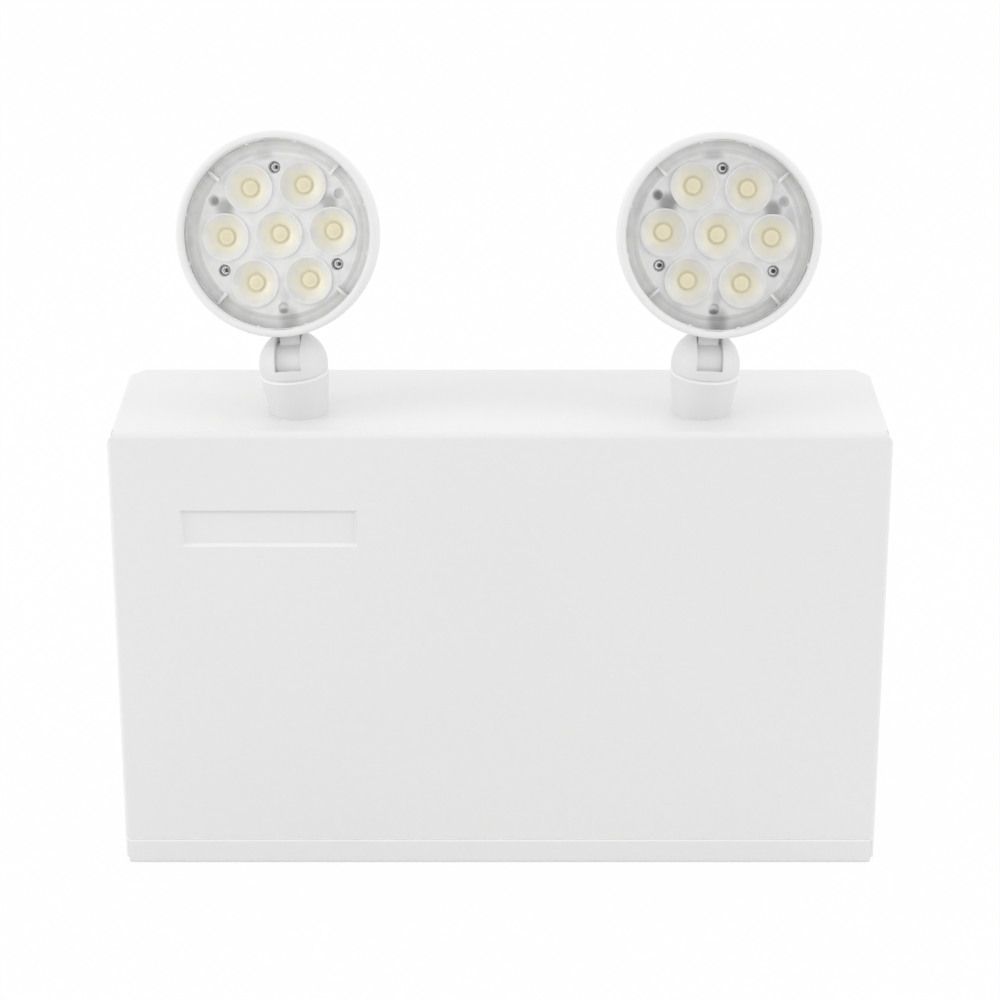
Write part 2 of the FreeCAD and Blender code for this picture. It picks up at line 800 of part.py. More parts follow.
def make_battery_strap():
    """Bent steel strap: foot on the floor, up the battery's front, over its top and up the back panel."""
    body = new_body("battery_strap")
    half = dim.strap_width / 2
    extrude(body, "strap_band", "YZ_Plane", -half, half, [folded(
        [(strap_foot_end, floor), (strap_face, floor), (strap_face, strap_level),
         (panel_face, strap_level), (panel_face, strap_level + dim.strap_tab)],
        dim.sheet, dim.strap_bend,
    )])
    extrude(body, "foot_hole", "XY_Plane", floor - PAST, floor + dim.sheet + PAST, [
        circle(0, strap_foot_deep, through_hole)
    ], cut=True)
    extrude(body, "tab_hole", "XZ_Plane", panel_face - dim.sheet - PAST, panel_face + PAST, [
        circle(0, strap_tab_level, through_hole)
    ], cut=True)
    place(body, battery_across)
    reach = dim.sheet * 2 - dim.fit_gap
    foot_screw = new_cabinet_screw("foot_screw", reach)
    place(foot_screw, battery_across, strap_foot_deep, floor + dim.sheet)
    tab_screw = new_cabinet_screw("tab_screw", reach)
    place(tab_screw, battery_across, panel_face - dim.sheet, strap_tab_level, TO_MINUS_Y)
    group("strap_screws", [foot_screw, tab_screw])


# Charger


def make_transformer():
    """Laminated core with two windows on a screwed foot plate, and the coil round its middle leg."""
    base = floor + dim.core_foot_thick
    half = dim.core_width / 2
    leg = dim.core_leg / 2
    inner = half - dim.core_yoke
    low = base + dim.core_yoke
    high = base + dim.core_height - dim.core_yoke
    stack = dim.core_stack / 2
    body = new_body("transformer_core")
    extrude(body, "laminations", "XZ_Plane", -stack, stack, [
        rectangle(-half, base, half, base + dim.core_height),
        rectangle(leg, low, inner, high), rectangle(-inner, low, -leg, high),
    ])
    extrude(body, "foot_plate", "XY_Plane", floor, base, [
        rectangle(-dim.core_foot_width / 2, -stack, dim.core_foot_width / 2, stack),
        circle(-core_foot_half, 0, through_hole), circle(core_foot_half, 0, through_hole),
    ])
    place(body, core_across, dim.core_deep)
    gap = dim.coil_gap
    coil = new_body("transformer_coil")
    extrude(coil, "winding", "XY_Plane", low + gap, high - gap, [
        rectangle(gap - inner, -stack - dim.coil_bulge, inner - gap, stack + dim.coil_bulge),
        rectangle(-leg - gap, -stack - gap, leg + gap, stack + gap),
    ])
    place(coil, core_across, dim.core_deep)
    screws = []
    for side in (-1, 1):
        reach = dim.core_foot_thick + dim.sheet - dim.fit_gap
        screw = new_cabinet_screw("transformer_screw", reach)
        screws.append(place(screw, core_across + side * core_foot_half, dim.core_deep, base))
    group("transformer_screws", screws)


def make_charger_board():
    """Circuit board on four tubular standoffs, each with a screw through the board's corner."""
    body = new_body("charger_board")
    left = board_across - dim.board_width / 2
    low = dim.board_level - dim.board_height / 2
    extrude(body, "board_blank", "XZ_Plane", board_face, board_face + dim.board_thick, [
        rectangle(left, low, left + dim.board_width, low + dim.board_height),
        *(circle(across, level, small_through) for across, level in board_corners),
    ])
    standoffs = []
    screws = []
    for across, level in board_corners:
        tube = new_body("board_standoff")
        extrude(tube, "standoff_tube", "XY_Plane", 0, dim.standoff_length, [
            circle(0, 0, dim.standoff / 2), circle(0, 0, small_tapped)
        ])
        standoffs.append(place(tube, across, panel_face, level, TO_MINUS_Y))
        screw = new_small_screw("board_screw")
        screws.append(place(screw, across, board_face, level, TO_MINUS_Y))
    group("board_standoffs", standoffs)
    group("board_screws", screws)


def make_board_pieces():
    """Relay, finned heat sink, capacitor and terminal block, each seated on the board's face."""
    relay = new_body("transfer_relay")
    half = dim.relay_width / 2
    tall = dim.relay_height / 2
    edge = dim.relay_round
    extrude(relay, "relay_can", "XY_Plane", 0, dim.relay_depth, [[
        (half, tall - edge), (half - edge, tall, edge), (edge - half, tall), (-half, tall - edge, edge),
        (-half, edge - tall), (edge - half, -tall, edge), (half - edge, -tall), (half, edge - tall, edge),
    ]])
    place(relay, board_across + dim.relay_aside, board_face, dim.board_level + dim.relay_rise, TO_MINUS_Y)

    sink = new_body("heat_sink")
    width = dim.sink_width
    tall = dim.sink_height / 2
    extrude(sink, "sink_base", "XY_Plane", 0, dim.sink_base, [rectangle(-width / 2, -tall, width / 2, tall)])
    pitch = (width - dim.sink_fin) / (SINK_FINS - 1)
    fin_sides = [pitch * number - width / 2 for number in range(SINK_FINS)]
    extrude(sink, "sink_fins", "XY_Plane", dim.sink_base, dim.sink_depth, [
        rectangle(side, -tall, side + dim.sink_fin, tall) for side in fin_sides
    ])
    place(sink, board_across + dim.sink_aside, board_face, dim.board_level + dim.sink_rise, TO_MINUS_Y)

    capacitor = new_body("filter_capacitor")
    radius = dim.capacitor / 2
    neck = dim.capacitor_neck
    revolve(capacitor, "capacitor_can", [
        (0, 0), (radius, 0), (radius, neck * 2), (radius - neck, neck * 3), (radius, neck * 4),
        (radius, dim.capacitor_length - neck), (radius - neck, dim.capacitor_length, neck),
        (0, dim.capacitor_length),
    ])
    across = board_across + dim.capacitor_aside
    place(capacitor, across, board_face, dim.board_level + dim.capacitor_rise, TO_MINUS_Y)

    block = new_body("terminal_block")
    half = dim.terminal_pitch * POLES / 2
    tall = dim.terminal_block_height / 2
    poles = [dim.terminal_pitch * (pole * 2 + 1 - POLES) / 2 for pole in range(POLES)]
    mouth = dim.terminal_mouth
    sill = mouth / 2
    deep = dim.terminal_block_depth
    extrude(block, "block_body", "XY_Plane", 0, deep, [rectangle(-half, -tall, half, tall)])
    extrude(block, "wire_mouths", "XZ_Plane", -tall - PAST, mouth - tall, [
        rectangle(across - mouth / 2, sill, across + mouth / 2, sill + mouth) for across in poles
    ], cut=True)
    extrude(block, "screw_wells", "XY_Plane", deep - mouth, deep + PAST, [
        circle(across, mouth / 2, mouth / 2) for across in poles
    ], cut=True)
    across = board_across + dim.terminal_block_aside
    place(block, across, board_face, dim.board_level + dim.terminal_block_rise, TO_MINUS_Y)


# Test switch and pilot lamp


def make_test_switch():
    """Panel switch: flanged bush through the cover's side, a nut behind it and a button that slides in it."""
    bush = dim.switch_bush / 2
    bore = dim.button / 2 + dim.button_gap
    flange = dim.switch_flange_thick
    button_end = flange + dim.button_proud - dim.button_length
    well = button_end - dim.button_travel - dim.fit_gap
    body = new_body("test_switch_body")
    revolve(body, "switch_turned", [
        (0, -dim.switch_length), (bush, -dim.switch_length), (bush, 0), (dim.switch_flange / 2, 0),
        (dim.switch_flange / 2, flange / 2), (dim.switch_flange / 2 - flange / 2, flange, flange / 2),
        (bore, flange), (bore, well), (0, well),
    ])
    place(body, half_width, side_controls_deep, dim.switch_level, TO_X)
    nut = new_nut("test_switch_nut", dim.switch_nut_flats, bush + dim.thread_gap, dim.switch_nut_thick)
    place(nut, half_width - dim.sheet, side_controls_deep, dim.switch_level, TO_MINUS_X)
    button = new_body("test_button")
    radius = dim.button / 2
    crown = dim.button_proud / 4
    proud = flange + dim.button_proud
    revolve(button, "button_turned", [
        (0, button_end), (radius, button_end), (radius, proud - crown),
        (radius - crown, proud, crown), (0, proud),
    ])
    place(button, half_width, side_controls_deep, dim.switch_level, TO_X)


def make_pilot_lamp():
    """Small panel lamp with a flange and a round lens, held by a nut behind the cover's side."""
    bush = dim.pilot_bush / 2
    flange = dim.pilot_flange_thick
    lens = dim.pilot_lens / 2
    body = new_body("pilot_lamp")
    revolve(body, "pilot_turned", [
        (0, -dim.pilot_length), (bush, -dim.pilot_length), (bush, 0), (dim.pilot_flange / 2, 0),
        (dim.pilot_flange / 2, flange), (lens, flange), (0, flange + lens, lens),
    ])
    place(body, half_width, side_controls_deep, dim.pilot_level, TO_X)
    nut = new_nut("pilot_nut", dim.pilot_nut_flats, bush + dim.thread_gap, dim.pilot_nut_thick)
    place(nut, half_width - dim.sheet, side_controls_deep, dim.pilot_level, TO_MINUS_X)


# Swivel of one head


def make_swivel_base(label, side, lean):
    """Moulded cup that leans outwards on a flat foot, with a hollow nipple through the cover's top."""
    rim = dim.pivot_rise - dim.dome_drop - dim.rim_gap
    bore = base_bore
    groove = bore + dim.bead_rise
    seat = dim.pivot_rise - dim.skirt_depth - dim.rim_gap
    web = seat - dim.base_web
    cavity = foot_radius - dim.base_wall
    below = dim.base_wall
    body = new_body(label)
    revolve(body, label + "_cup", [
        (0, seat), (0, web), (cavity, web), (cavity, -below), (foot_radius, -below),
        (base_radius, rim - dim.base_rim_chamfer), (base_radius - dim.base_rim_chamfer, rim), (bore, rim),
        (bore, dim.pivot_rise - dim.bead_high + dim.bead_rise),
        (groove, dim.pivot_rise - dim.bead_high), (groove, dim.pivot_rise - dim.bead_low - dim.swivel_gap),
        (bore, dim.pivot_rise - dim.bead_low - dim.bead_rise), (bore, seat),
    ], turn=-side * lean)
    extrude(body, label + "_foot_cut", "XY_Plane", -below * 2, 0, [
        circle(0, 0, base_radius + PAST)
    ], cut=True)
    extrude(body, label + "_nipple", "XY_Plane", -dim.sheet - dim.nipple_length, web + dim.base_web / 2, [
        circle(0, 0, dim.nipple / 2)
    ])
    extrude(body, label + "_wire_way", "XY_Plane", -dim.sheet - dim.nipple_length - PAST, seat + PAST, [
        circle(0, 0, dim.nipple_bore / 2)
    ], cut=True)
    place(body, side * head_across, head_deep, top)


def make_swivel_dome(label, setting):
    """Slotted dome on a hollow skirt whose bead snaps into the base: the neck's barrel turns in its slot.

    The slot's floor falls from both brows to a valley, so that the neck lies along it at its tilt limit.
    """
    ball = dim.dome_radius
    skirt = dim.skirt_radius
    edge = root(ball * ball - dim.dome_drop * dim.dome_drop)
    bead = skirt + dim.bead_rise
    wire_way = dim.nipple_bore / 2
    pocket = dim.barrel_radius + dim.barrel_gap
    body = new_body(label)
    revolve(body, label + "_turned", [
        (0, -pocket / 2), (wire_way, -pocket / 2), (wire_way, -dim.skirt_depth), (skirt, -dim.skirt_depth),
        (skirt, -dim.bead_low - dim.bead_rise), (bead, -dim.bead_low),
        (bead, -dim.bead_high - dim.swivel_gap), (skirt, -dim.bead_high + dim.bead_rise),
        (skirt, -dim.dome_drop), (edge, -dim.dome_drop), (0, ball, ball),
    ])
    slot = dim.slot_width / 2
    reach = ball + PAST
    stop = dim.neck_thick / 2 + dim.neck_gap
    valley = -stop / sine(dim.tilt_limit)
    brow = (reach * cosine(dim.tilt_limit) - stop) / sine(dim.tilt_limit)
    extrude(body, label + "_slot", "YZ_Plane", -slot, slot, [
        [(0, valley), (reach, brow), (reach, reach), (-reach, reach), (-reach, brow)]
    ], cut=True)
    extrude(body, label + "_barrel_seat", "YZ_Plane", -slot, slot, [circle(0, 0, pocket)], cut=True)
    extrude(body, label + "_pin_way", "YZ_Plane", -reach, reach, [
        circle(0, 0, dim.tilt_pin / 2 + dim.press_gap)
    ], cut=True)
    body.Placement = setting


def make_tilt_pin(label, setting):
    """Pin that carries the neck's barrel: pressed into the dome's cheeks, with ends flush with the dome."""
    ball = dim.dome_radius
    radius = dim.tilt_pin / 2
    shoulder_end = root(ball * ball - radius * radius)
    body = new_body(label)
    revolve(body, label + "_turned", [
        (0, -ball), (radius, -shoulder_end, ball), (radius, shoulder_end), (0, ball, ball),
    ])
    body.Placement = setting.multiply(Placement(Vector(), TO_X))


def make_locknut(label, side):
    """Nut on the base's nipple, tight under the cover's top."""
    nut = new_nut(label, dim.locknut_flats, dim.nipple / 2 + dim.thread_gap, dim.locknut_thick)
    place(nut, side * head_across, head_deep, top - dim.sheet - dim.locknut_thick)


# Lamp head: Z points out of the lamp's face, Y points up the face


def make_lamp_housing(label, setting):
    """Moulded bowl with a neck and a cross barrel, and three bosses inside for the lamp board's screws."""
    rim = housing_rim
    ledge = dim.bezel_depth + dim.fit_gap
    shoulder_radius = dim.bezel_radius - dim.shoulder_inset
    back_radius = dim.bezel_radius - dim.back_inset
    wall = dim.housing_wall
    waist = dim.housing_waist_back
    crown = dim.housing_crown_radius
    body = new_body(label)
    revolve(body, label + "_bowl", [
        (0, -housing_front), (rim, -housing_front), (rim, -ledge), (shoulder_radius, -ledge),
        (housing_waist, -waist), (back_radius, -dim.housing_depth, -crown), (0, -dim.housing_depth),
    ])
    half_neck = dim.slot_width / 2 - dim.neck_side_gap
    thick = dim.neck_thick / 2
    ahead = dim.face_ahead
    extrude(body, label + "_neck", "YZ_Plane", -half_neck, half_neck, [
        rectangle(-head_reach, -ahead - thick, wall * 2 - housing_waist, thick - ahead)
    ])
    half_barrel = dim.slot_width / 2 - dim.barrel_side_gap
    extrude(body, label + "_barrel", "YZ_Plane", -half_barrel, half_barrel, [
        circle(-head_reach, -ahead, dim.barrel_radius)
    ])
    revolve(body, label + "_hollow", [
        (0, PAST - housing_front), (rim - dim.housing_rim_wall, PAST - housing_front),
        (rim - dim.housing_rim_wall, -ledge), (housing_waist - wall, -waist),
        (back_radius - wall, wall - dim.housing_depth, wall - crown), (0, wall - dim.housing_depth),
    ], cut=True)
    extrude(body, label + "_tilt_bore", "YZ_Plane", -half_barrel - PAST, half_barrel + PAST, [
        circle(-head_reach, -ahead, dim.tilt_pin / 2 + dim.tilt_gap)
    ], cut=True)
    groove_deep = dim.tilt_pin / 2 + dim.wire_groove_wall
    extrude(body, label + "_wire_groove", "YZ_Plane", -dim.wire_groove / 2, dim.wire_groove / 2, [
        rectangle(-head_reach - dim.barrel_radius - PAST, -ahead - dim.barrel_radius - PAST,
                  wall * 3 - housing_waist, -ahead - groove_deep)
    ], cut=True)
    boss = extrude(body, label + "_boss", "XY_Plane", wall / 2 - dim.housing_depth, -lamp_board_back, [
        circle(0, dim.lamp_screw_ring, dim.boss_radius)
    ])
    repeat_round(body, label + "_bosses", boss, LAMP_SCREWS)
    pilot = extrude(body, label + "_pilot", "XY_Plane", wall - dim.housing_depth, PAST - lamp_board_back, [
        circle(0, dim.lamp_screw_ring, small_tapped)
    ], cut=True)
    repeat_round(body, label + "_pilots", pilot, LAMP_SCREWS)
    body.Placement = setting


def make_bezel_ring(label, setting):
    """Ring with a rounded front and an inner lip over the lens, nubs and two snap slots inside it."""
    outer = dim.bezel_radius
    ease = dim.bezel_round
    opening = outer - dim.bezel_band
    throat = dim.bezel_throat
    body = new_body(label)
    revolve(body, label + "_turned", [
        (opening, -dim.bezel_lip), (opening, -throat), (opening + throat, 0, -throat), (outer - ease, 0),
        (outer, -ease, -ease), (outer - dim.bezel_draft, -dim.bezel_depth), (bezel_bore, -dim.bezel_depth),
        (bezel_bore, -dim.bezel_lip),
    ])
    for name, lean in (("_nub_before", -1), ("_nub_after", 1)):
        nub = extrude(body, label + name, "XY_Plane", -dim.bezel_lip, -throat, [
            rectangle(opening - dim.nub_rise, -dim.nub_width / 2, opening + throat, dim.nub_width / 2)
        ], turn=lean * dim.nub_angle)
        repeat_round(body, label + name + "s", nub, NUB_PAIRS)
    half_snap = dim.snap_width / 2
    snap = extrude(body, label + "_snap", "XY_Plane", -dim.bezel_lip - PAST, -throat / 2, [
        rectangle(-half_snap, opening - PAST, half_snap, opening + dim.snap_depth)
    ], cut=True)
    repeat_round(body, label + "_snaps", snap, SNAPS)
    body.Placement = setting


def make_front_lens(label, setting):
    """Clear flat disc behind the bezel's lip, with eased edges."""
    face = dim.bezel_lip + dim.fit_gap
    ease = dim.lens_thick / 8
    body = new_body(label)
    revolve(body, label + "_disc", [
        (0, -lens_back), (lens_radius - ease, -lens_back), (lens_radius, ease - lens_back),
        (lens_radius, -face - ease), (lens_radius - ease, -face), (0, -face),
    ])
    body.Placement = setting


def make_collimator_plate(label, setting):
    """Milky plate with seven bowl-shaped cups and three dimples on a round table, and a channel round it.

    Four ribs cross the channel and meet the lens. The rim's flange lies between lens and housing.
    """
    face = -dim.plate_back
    ledge = face - dim.channel_depth
    wall = dim.plate_wall
    table = plate_radius - wall - dim.channel_width
    mouth = face + dim.cup_proud
    lowest = -cup_back
    outer = cup_mouth + dim.cup_wall
    cup = [
        (0, mouth), (0, lowest), (cup_floor + dim.cup_wall, lowest),
        (outer, face - dim.plate_thick / 2, dim.cup_curve), (outer, mouth),
    ]
    bowl = [
        (0, mouth + PAST), (0, lowest - PAST), (cup_floor, lowest - PAST), (cup_floor, lowest),
        (cup_mouth, mouth, dim.cup_curve), (cup_mouth, mouth + PAST),
    ]
    body = new_body(label)
    revolve(body, label + "_shell", [
        (0, face), (0, face - dim.plate_thick), (table - wall, face - dim.plate_thick),
        (table - wall, ledge - wall), (plate_radius, ledge - wall), (plate_radius, -flange_back),
        (housing_rim, -flange_back), (housing_rim, -flange_front), (plate_radius - wall, -flange_front),
        (plate_radius - wall, ledge), (table + dim.channel_slope, ledge), (table, face),
    ])
    revolve(body, label + "_middle_cup", cup)
    ring_cup = revolve(body, label + "_cup", cup, shift=dim.cup_ring)
    repeat_round(body, label + "_cups", ring_cup, CUPS_ROUND)
    revolve(body, label + "_middle_bowl", bowl, cut=True)
    ring_bowl = revolve(body, label + "_bowl", bowl, shift=dim.cup_ring, cut=True)
    repeat_round(body, label + "_bowls", ring_bowl, CUPS_ROUND)
    window = extrude(body, label + "_window", "XY_Plane", face - dim.plate_thick - PAST, face + PAST, [
        circle(0, dim.lamp_screw_ring, dim.lamp_screw_window / 2)
    ], cut=True)
    repeat_round(body, label + "_windows", window, LAMP_SCREWS)
    dimple = extrude(body, label + "_dimple", "XY_Plane", face - dim.dimple_depth, face + PAST, [
        circle(0, -dim.dimple_ring, dim.dimple / 2)
    ], cut=True)
    repeat_round(body, label + "_dimples", dimple, LAMP_SCREWS)
    rib = extrude(body, label + "_rib", "XY_Plane", ledge - wall, -flange_front, [
        rectangle(table - wall, -dim.rib_width / 2, plate_radius - wall / 2, dim.rib_width / 2)
    ], turn=180 / RIBS)
    repeat_round(body, label + "_ribs", rib, RIBS)
    body.Placement = setting


def make_lamp_board(label, setting):
    """Round white board on the housing's bosses, with screw holes and a notch for the wires."""
    radius = housing_waist - dim.housing_wall - dim.lamp_board_gap
    low = -lamp_board_back - PAST
    high = PAST - lamp_board_front
    body = new_body(label)
    extrude(body, label + "_disc", "XY_Plane", -lamp_board_back, -lamp_board_front, [circle(0, 0, radius)])
    hole = extrude(body, label + "_screw_hole", "XY_Plane", low, high, [
        circle(0, dim.lamp_screw_ring, small_through)
    ], cut=True)
    repeat_round(body, label + "_screw_holes", hole, LAMP_SCREWS)
    half_notch = dim.board_notch / 2
    extrude(body, label + "_wire_notch", "XY_Plane", low, high, [
        rectangle(-half_notch, -radius - PAST, half_notch, dim.board_notch_depth - radius)
    ], cut=True)
    body.Placement = setting


def make_emitters(label, setting):
    """Seven round emitters on the lamp board, each a thin base under a low yellow crown."""
    radius = dim.emitter_radius
    seat = -lamp_board_front
    shelf = seat + dim.emitter_base
    crown = dim.emitter_crown_height
    curve = (radius * radius + crown * crown) / (crown * 2)
    body = new_body(label)
    outline = [(0, seat), (radius, seat), (radius, shelf), (0, shelf + crown, curve)]
    revolve(body, label + "_middle", outline)
    ring = revolve(body, label + "_one", outline, shift=dim.cup_ring)
    repeat_round(body, label + "_ring", ring, CUPS_ROUND)
    body.Placement = setting


def make_lamp_screws(label, setting):
    """Three screws that hold the lamp board on the housing's bosses."""
    screws = []
    for number in range(LAMP_SCREWS):
        screw = new_small_screw(label + "_one")
        spot = Placement(Vector(0, dim.lamp_screw_ring, -lamp_board_front), UPRIGHT)
        turned = Placement(Vector(), Rotation(Vector(0, 0, 1), 360 / LAMP_SCREWS * number))
        screw.Placement = setting.multiply(turned).multiply(spot)
        screws.append(screw)
    group(label, screws)


def make_head(side_name, side, lean, pan, tilt):
    """One lamp head with its swivel, turned by its pan and tilt about the leaning swivel axis."""
    outwards = Rotation(Vector(0, 1, 0), side * float(lean))
    foot = Placement(Vector(side * head_across, head_deep, top), outwards)
    pivot = foot.multiply(Placement(Vector(0, 0, dim.pivot_rise), UPRIGHT))
    panned = pivot.multiply(Placement(Vector(), Rotation(Vector(0, 0, 1), float(pan))))
    tilted = panned.multiply(Placement(Vector(), Rotation(Vector(1, 0, 0), float(tilt))))
    face = tilted.multiply(Placement(Vector(0, -dim.face_ahead, head_reach), TO_MINUS_Y))
    make_swivel_base(side_name + "_swivel_base", side, lean)
    make_locknut(side_name + "_base_locknut", side)
    make_swivel_dome(side_name + "_swivel_dome", panned)
    make_tilt_pin(side_name + "_tilt_pin", panned)
    make_lamp_housing(side_name + "_lamp_housing", face)
    make_bezel_ring(side_name + "_bezel_ring", face)
    make_front_lens(side_name + "_front_lens", face)
    make_collimator_plate(side_name + "_collimator_plate", face)
    make_lamp_board(side_name + "_lamp_board", face)
    make_emitters(side_name + "_emitters", face)
    make_lamp_screws(side_name + "_lamp_screws", face)


# Whole light


def finished_pieces():
    """The bodies and groups that stand by themselves, each checked."""
    broken = [thing.Name for thing in doc.Objects if {"Invalid", "Error"} & set(thing.State)]
    if broken:
        raise RuntimeError(f"not built: {broken}")
    groups = [thing for thing in doc.Objects if thing.TypeId == "Part::Compound"]
    grouped = {member.Name for compound in groups for member in compound.Links}
    every_body = [thing for thing in doc.Objects if thing.TypeId == "PartDesign::Body"]
    bodies = [body for body in every_body if body.Name not in grouped]
    for piece in bodies + groups:
        if piece.Shape.isNull() or not piece.Shape.isValid():
            raise RuntimeError(f"bad shape: {piece.Label}")
    return bodies + groups


make_front_cover()
make_back_chassis()
make_cover_screws()
make_battery()
make_battery_strap()
make_transformer()
make_charger_board()
make_board_pieces()
make_test_switch()
make_pilot_lamp()
make_head("left", -1, dim.left_lean, dim.left_pan, dim.left_tilt)
make_head("right", 1, dim.right_lean, dim.right_pan, dim.right_tilt)
doc.recompute()

os.makedirs("parts", exist_ok=True)
for piece in finished_pieces():
    piece.Shape.exportStep(f"parts/{piece.Label}.step")
    print(piece.Label, len(piece.Shape.Solids), round(piece.Shape.Volume, 1))
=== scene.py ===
"""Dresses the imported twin-head emergency light: white paint, white mouldings, milky optics, a plain studio.

Lengths are in metres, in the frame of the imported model: +X right, +Y to the wall, +Z up. Sizes and colours
that a user would change are in the property groups. Where the lamp faces, the joints and the lip lie is read
from the frame.
"""

import json
import math

import bpy
import numpy as np
from bpy.props import FloatProperty, FloatVectorProperty, PointerProperty
from mathutils import Matrix, Vector


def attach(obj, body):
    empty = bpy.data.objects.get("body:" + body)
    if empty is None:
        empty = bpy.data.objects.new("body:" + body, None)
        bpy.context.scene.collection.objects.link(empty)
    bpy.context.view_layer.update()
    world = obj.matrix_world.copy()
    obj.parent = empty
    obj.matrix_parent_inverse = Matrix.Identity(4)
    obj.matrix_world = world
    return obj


bl_info = {
    "name": "Twin-head emergency light",
    "version": (1, 0, 0),
    "blender": (4, 5, 0),
    "location": "View3D > Sidebar > Emergency light",
    "description": "Finishes, lamp optics and studio for the packed emergency light",
    "category": "Object",
}

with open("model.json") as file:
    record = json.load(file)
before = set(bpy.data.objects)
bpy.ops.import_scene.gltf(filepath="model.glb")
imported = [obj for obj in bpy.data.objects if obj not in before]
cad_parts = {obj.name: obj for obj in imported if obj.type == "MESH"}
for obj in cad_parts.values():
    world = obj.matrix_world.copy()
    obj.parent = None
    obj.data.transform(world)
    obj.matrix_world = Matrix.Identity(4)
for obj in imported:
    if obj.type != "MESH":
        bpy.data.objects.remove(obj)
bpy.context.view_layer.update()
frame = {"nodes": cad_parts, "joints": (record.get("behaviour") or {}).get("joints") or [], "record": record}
SIDES = ("left", "right")
MM = 0.001
WHITE = (1.0, 1.0, 1.0, 1.0)
NODE_SLOTS = {part["node"]: part["material_slot"] for part in frame["record"]["subparts"]}


# Property groups


def colour_property(name, description, default):
    return FloatVectorProperty(
        name=name, description=description, default=default, size=3, subtype="COLOR", min=0.0, max=1.0
    )


def length_property(name, description, default):
    return FloatProperty(name=name, description=description, default=default, min=0.0, unit="LENGTH")


def pair_property(name, description, default):
    return FloatVectorProperty(name=name, description=description, default=default, size=2, unit="LENGTH")


def share_property(name, description, default):
    return FloatProperty(
        name=name, description=description, default=default, min=0.0, max=1.0, subtype="FACTOR"
    )


def times_property(name, description, default):
    return FloatProperty(name=name, description=description, default=default, min=0.0)


def power_property(name, description, default):
    return FloatProperty(name=name, description=description, default=default, min=0.0, unit="POWER")


class CabinetSettings(bpy.types.PropertyGroup):
    """Paint of the folded steel cabinet, painted shade and highlight on its pressed strip, and the painted
    light of the hem on its lip.
    """

    paint: colour_property("Paint", "Colour of the white powder coat", (0.818, 0.818, 0.815))
    peel: length_property("Peel", "Width of one bump of the powder coat", 0.0011)
    speck: length_property("Speck", "Width of one grain of the powder coat", 0.00035)
    strip_middle: pair_property(
        "Strip middle", "Place of the pressed strip's middle, across and up", (-0.101, 0.1635)
    )
    strip_half: pair_property(
        "Strip half", "Half the width and height of the pressed strip at its walls' middle", (0.0379, 0.0079)
    )
    strip_wall: length_property("Strip wall", "Width of the pressed strip's sloped walls", 0.0012)
    # Painted shade along the strip's upper wall and at its right end, and a painted highlight along its lower
    # wall
    strip_shade: colour_property("Strip shade", "Colour along the strip's upper wall", (0.755, 0.755, 0.752))
    strip_light: colour_property("Strip light", "Colour along the strip's lower wall", (0.845, 0.845, 0.842))
    strip_end_shade: colour_property("Strip end", "Colour along the strip's right end", (0.75, 0.75, 0.747))
    hem: length_property("Hem", "Radius of the rolled hem along the lip's upper edge", 0.00068)
    # Painted light: the hem takes a lighter copy of the paint, and a band of the cover right above it is
    # lightened over the shade in the crease
    hem_light: colour_property(
        "Hem light", "Colour of the hem and of the cover right above it", (0.875, 0.875, 0.872)
    )
    hem_sink: length_property("Hem sink", "How far the hem's middle lies below the lip's upper edge", 0.0003)
    band_height: length_property("Band height", "Height of the cover's light band over the hem", 0.01165)
    band_half: length_property("Band half", "Half the width of that light band", 0.00035)


class HeadSettings(bpy.types.PropertyGroup):
    """Mouldings of the lamp heads and their swivels, with their washers and lens beads, and painted light on
    the bases' rims and the necks.
    """

    swivel: colour_property("Swivel", "Colour of the domes and the lamp housings", (0.75, 0.75, 0.747))
    base: colour_property("Base", "Colour of the swivel bases", (0.755, 0.755, 0.752))
    # Painted light: this lighter colour gives the bases' rims a painted highlight and lifts the necks out of
    # the slots' shade
    rim: colour_property("Rim", "Colour of the bases' rims and the necks", (0.87, 0.87, 0.867))
    rim_edge: length_property("Rim edge", "Height of the lighter rim on a swivel base", 0.0012)
    rim_soft: length_property("Rim softness", "Half the height over which the rim gets lighter", 0.0002)
    # Where the painted light on the neck starts, and how softly
    neck_from: length_property("Neck from", "Distance of the neck's start from the lamp's middle", 0.045)
    neck_soft: length_property("Neck softness", "Length over which the neck gets lighter", 0.002)
    bezel: colour_property("Bezel", "Colour of the bezel rings", (0.81, 0.81, 0.807))
    grain: length_property("Grain", "Width of one grain of the moulded surface", 0.0004)
    washer: length_property("Washer", "Radius of the friction washers beside the neck's barrel", 0.0099)
    washer_bore: length_property("Washer bore", "Radius of the friction washers' hole", 0.0023)
    washer_thick: length_property("Washer thickness", "Thickness of the friction washers", 0.00029)
    washer_aside: length_property(
        "Washer aside", "Distance of a washer's middle from the neck's middle", 0.0056
    )
    bead: length_property("Bead", "Thickness of the bead that holds the lens", 0.0006)
    bead_ring: length_property("Bead ring", "Radius of the bead's middle line", 0.0409)
    bead_depth: length_property("Bead depth", "Depth of the bead below the bezel's front", 0.0015)


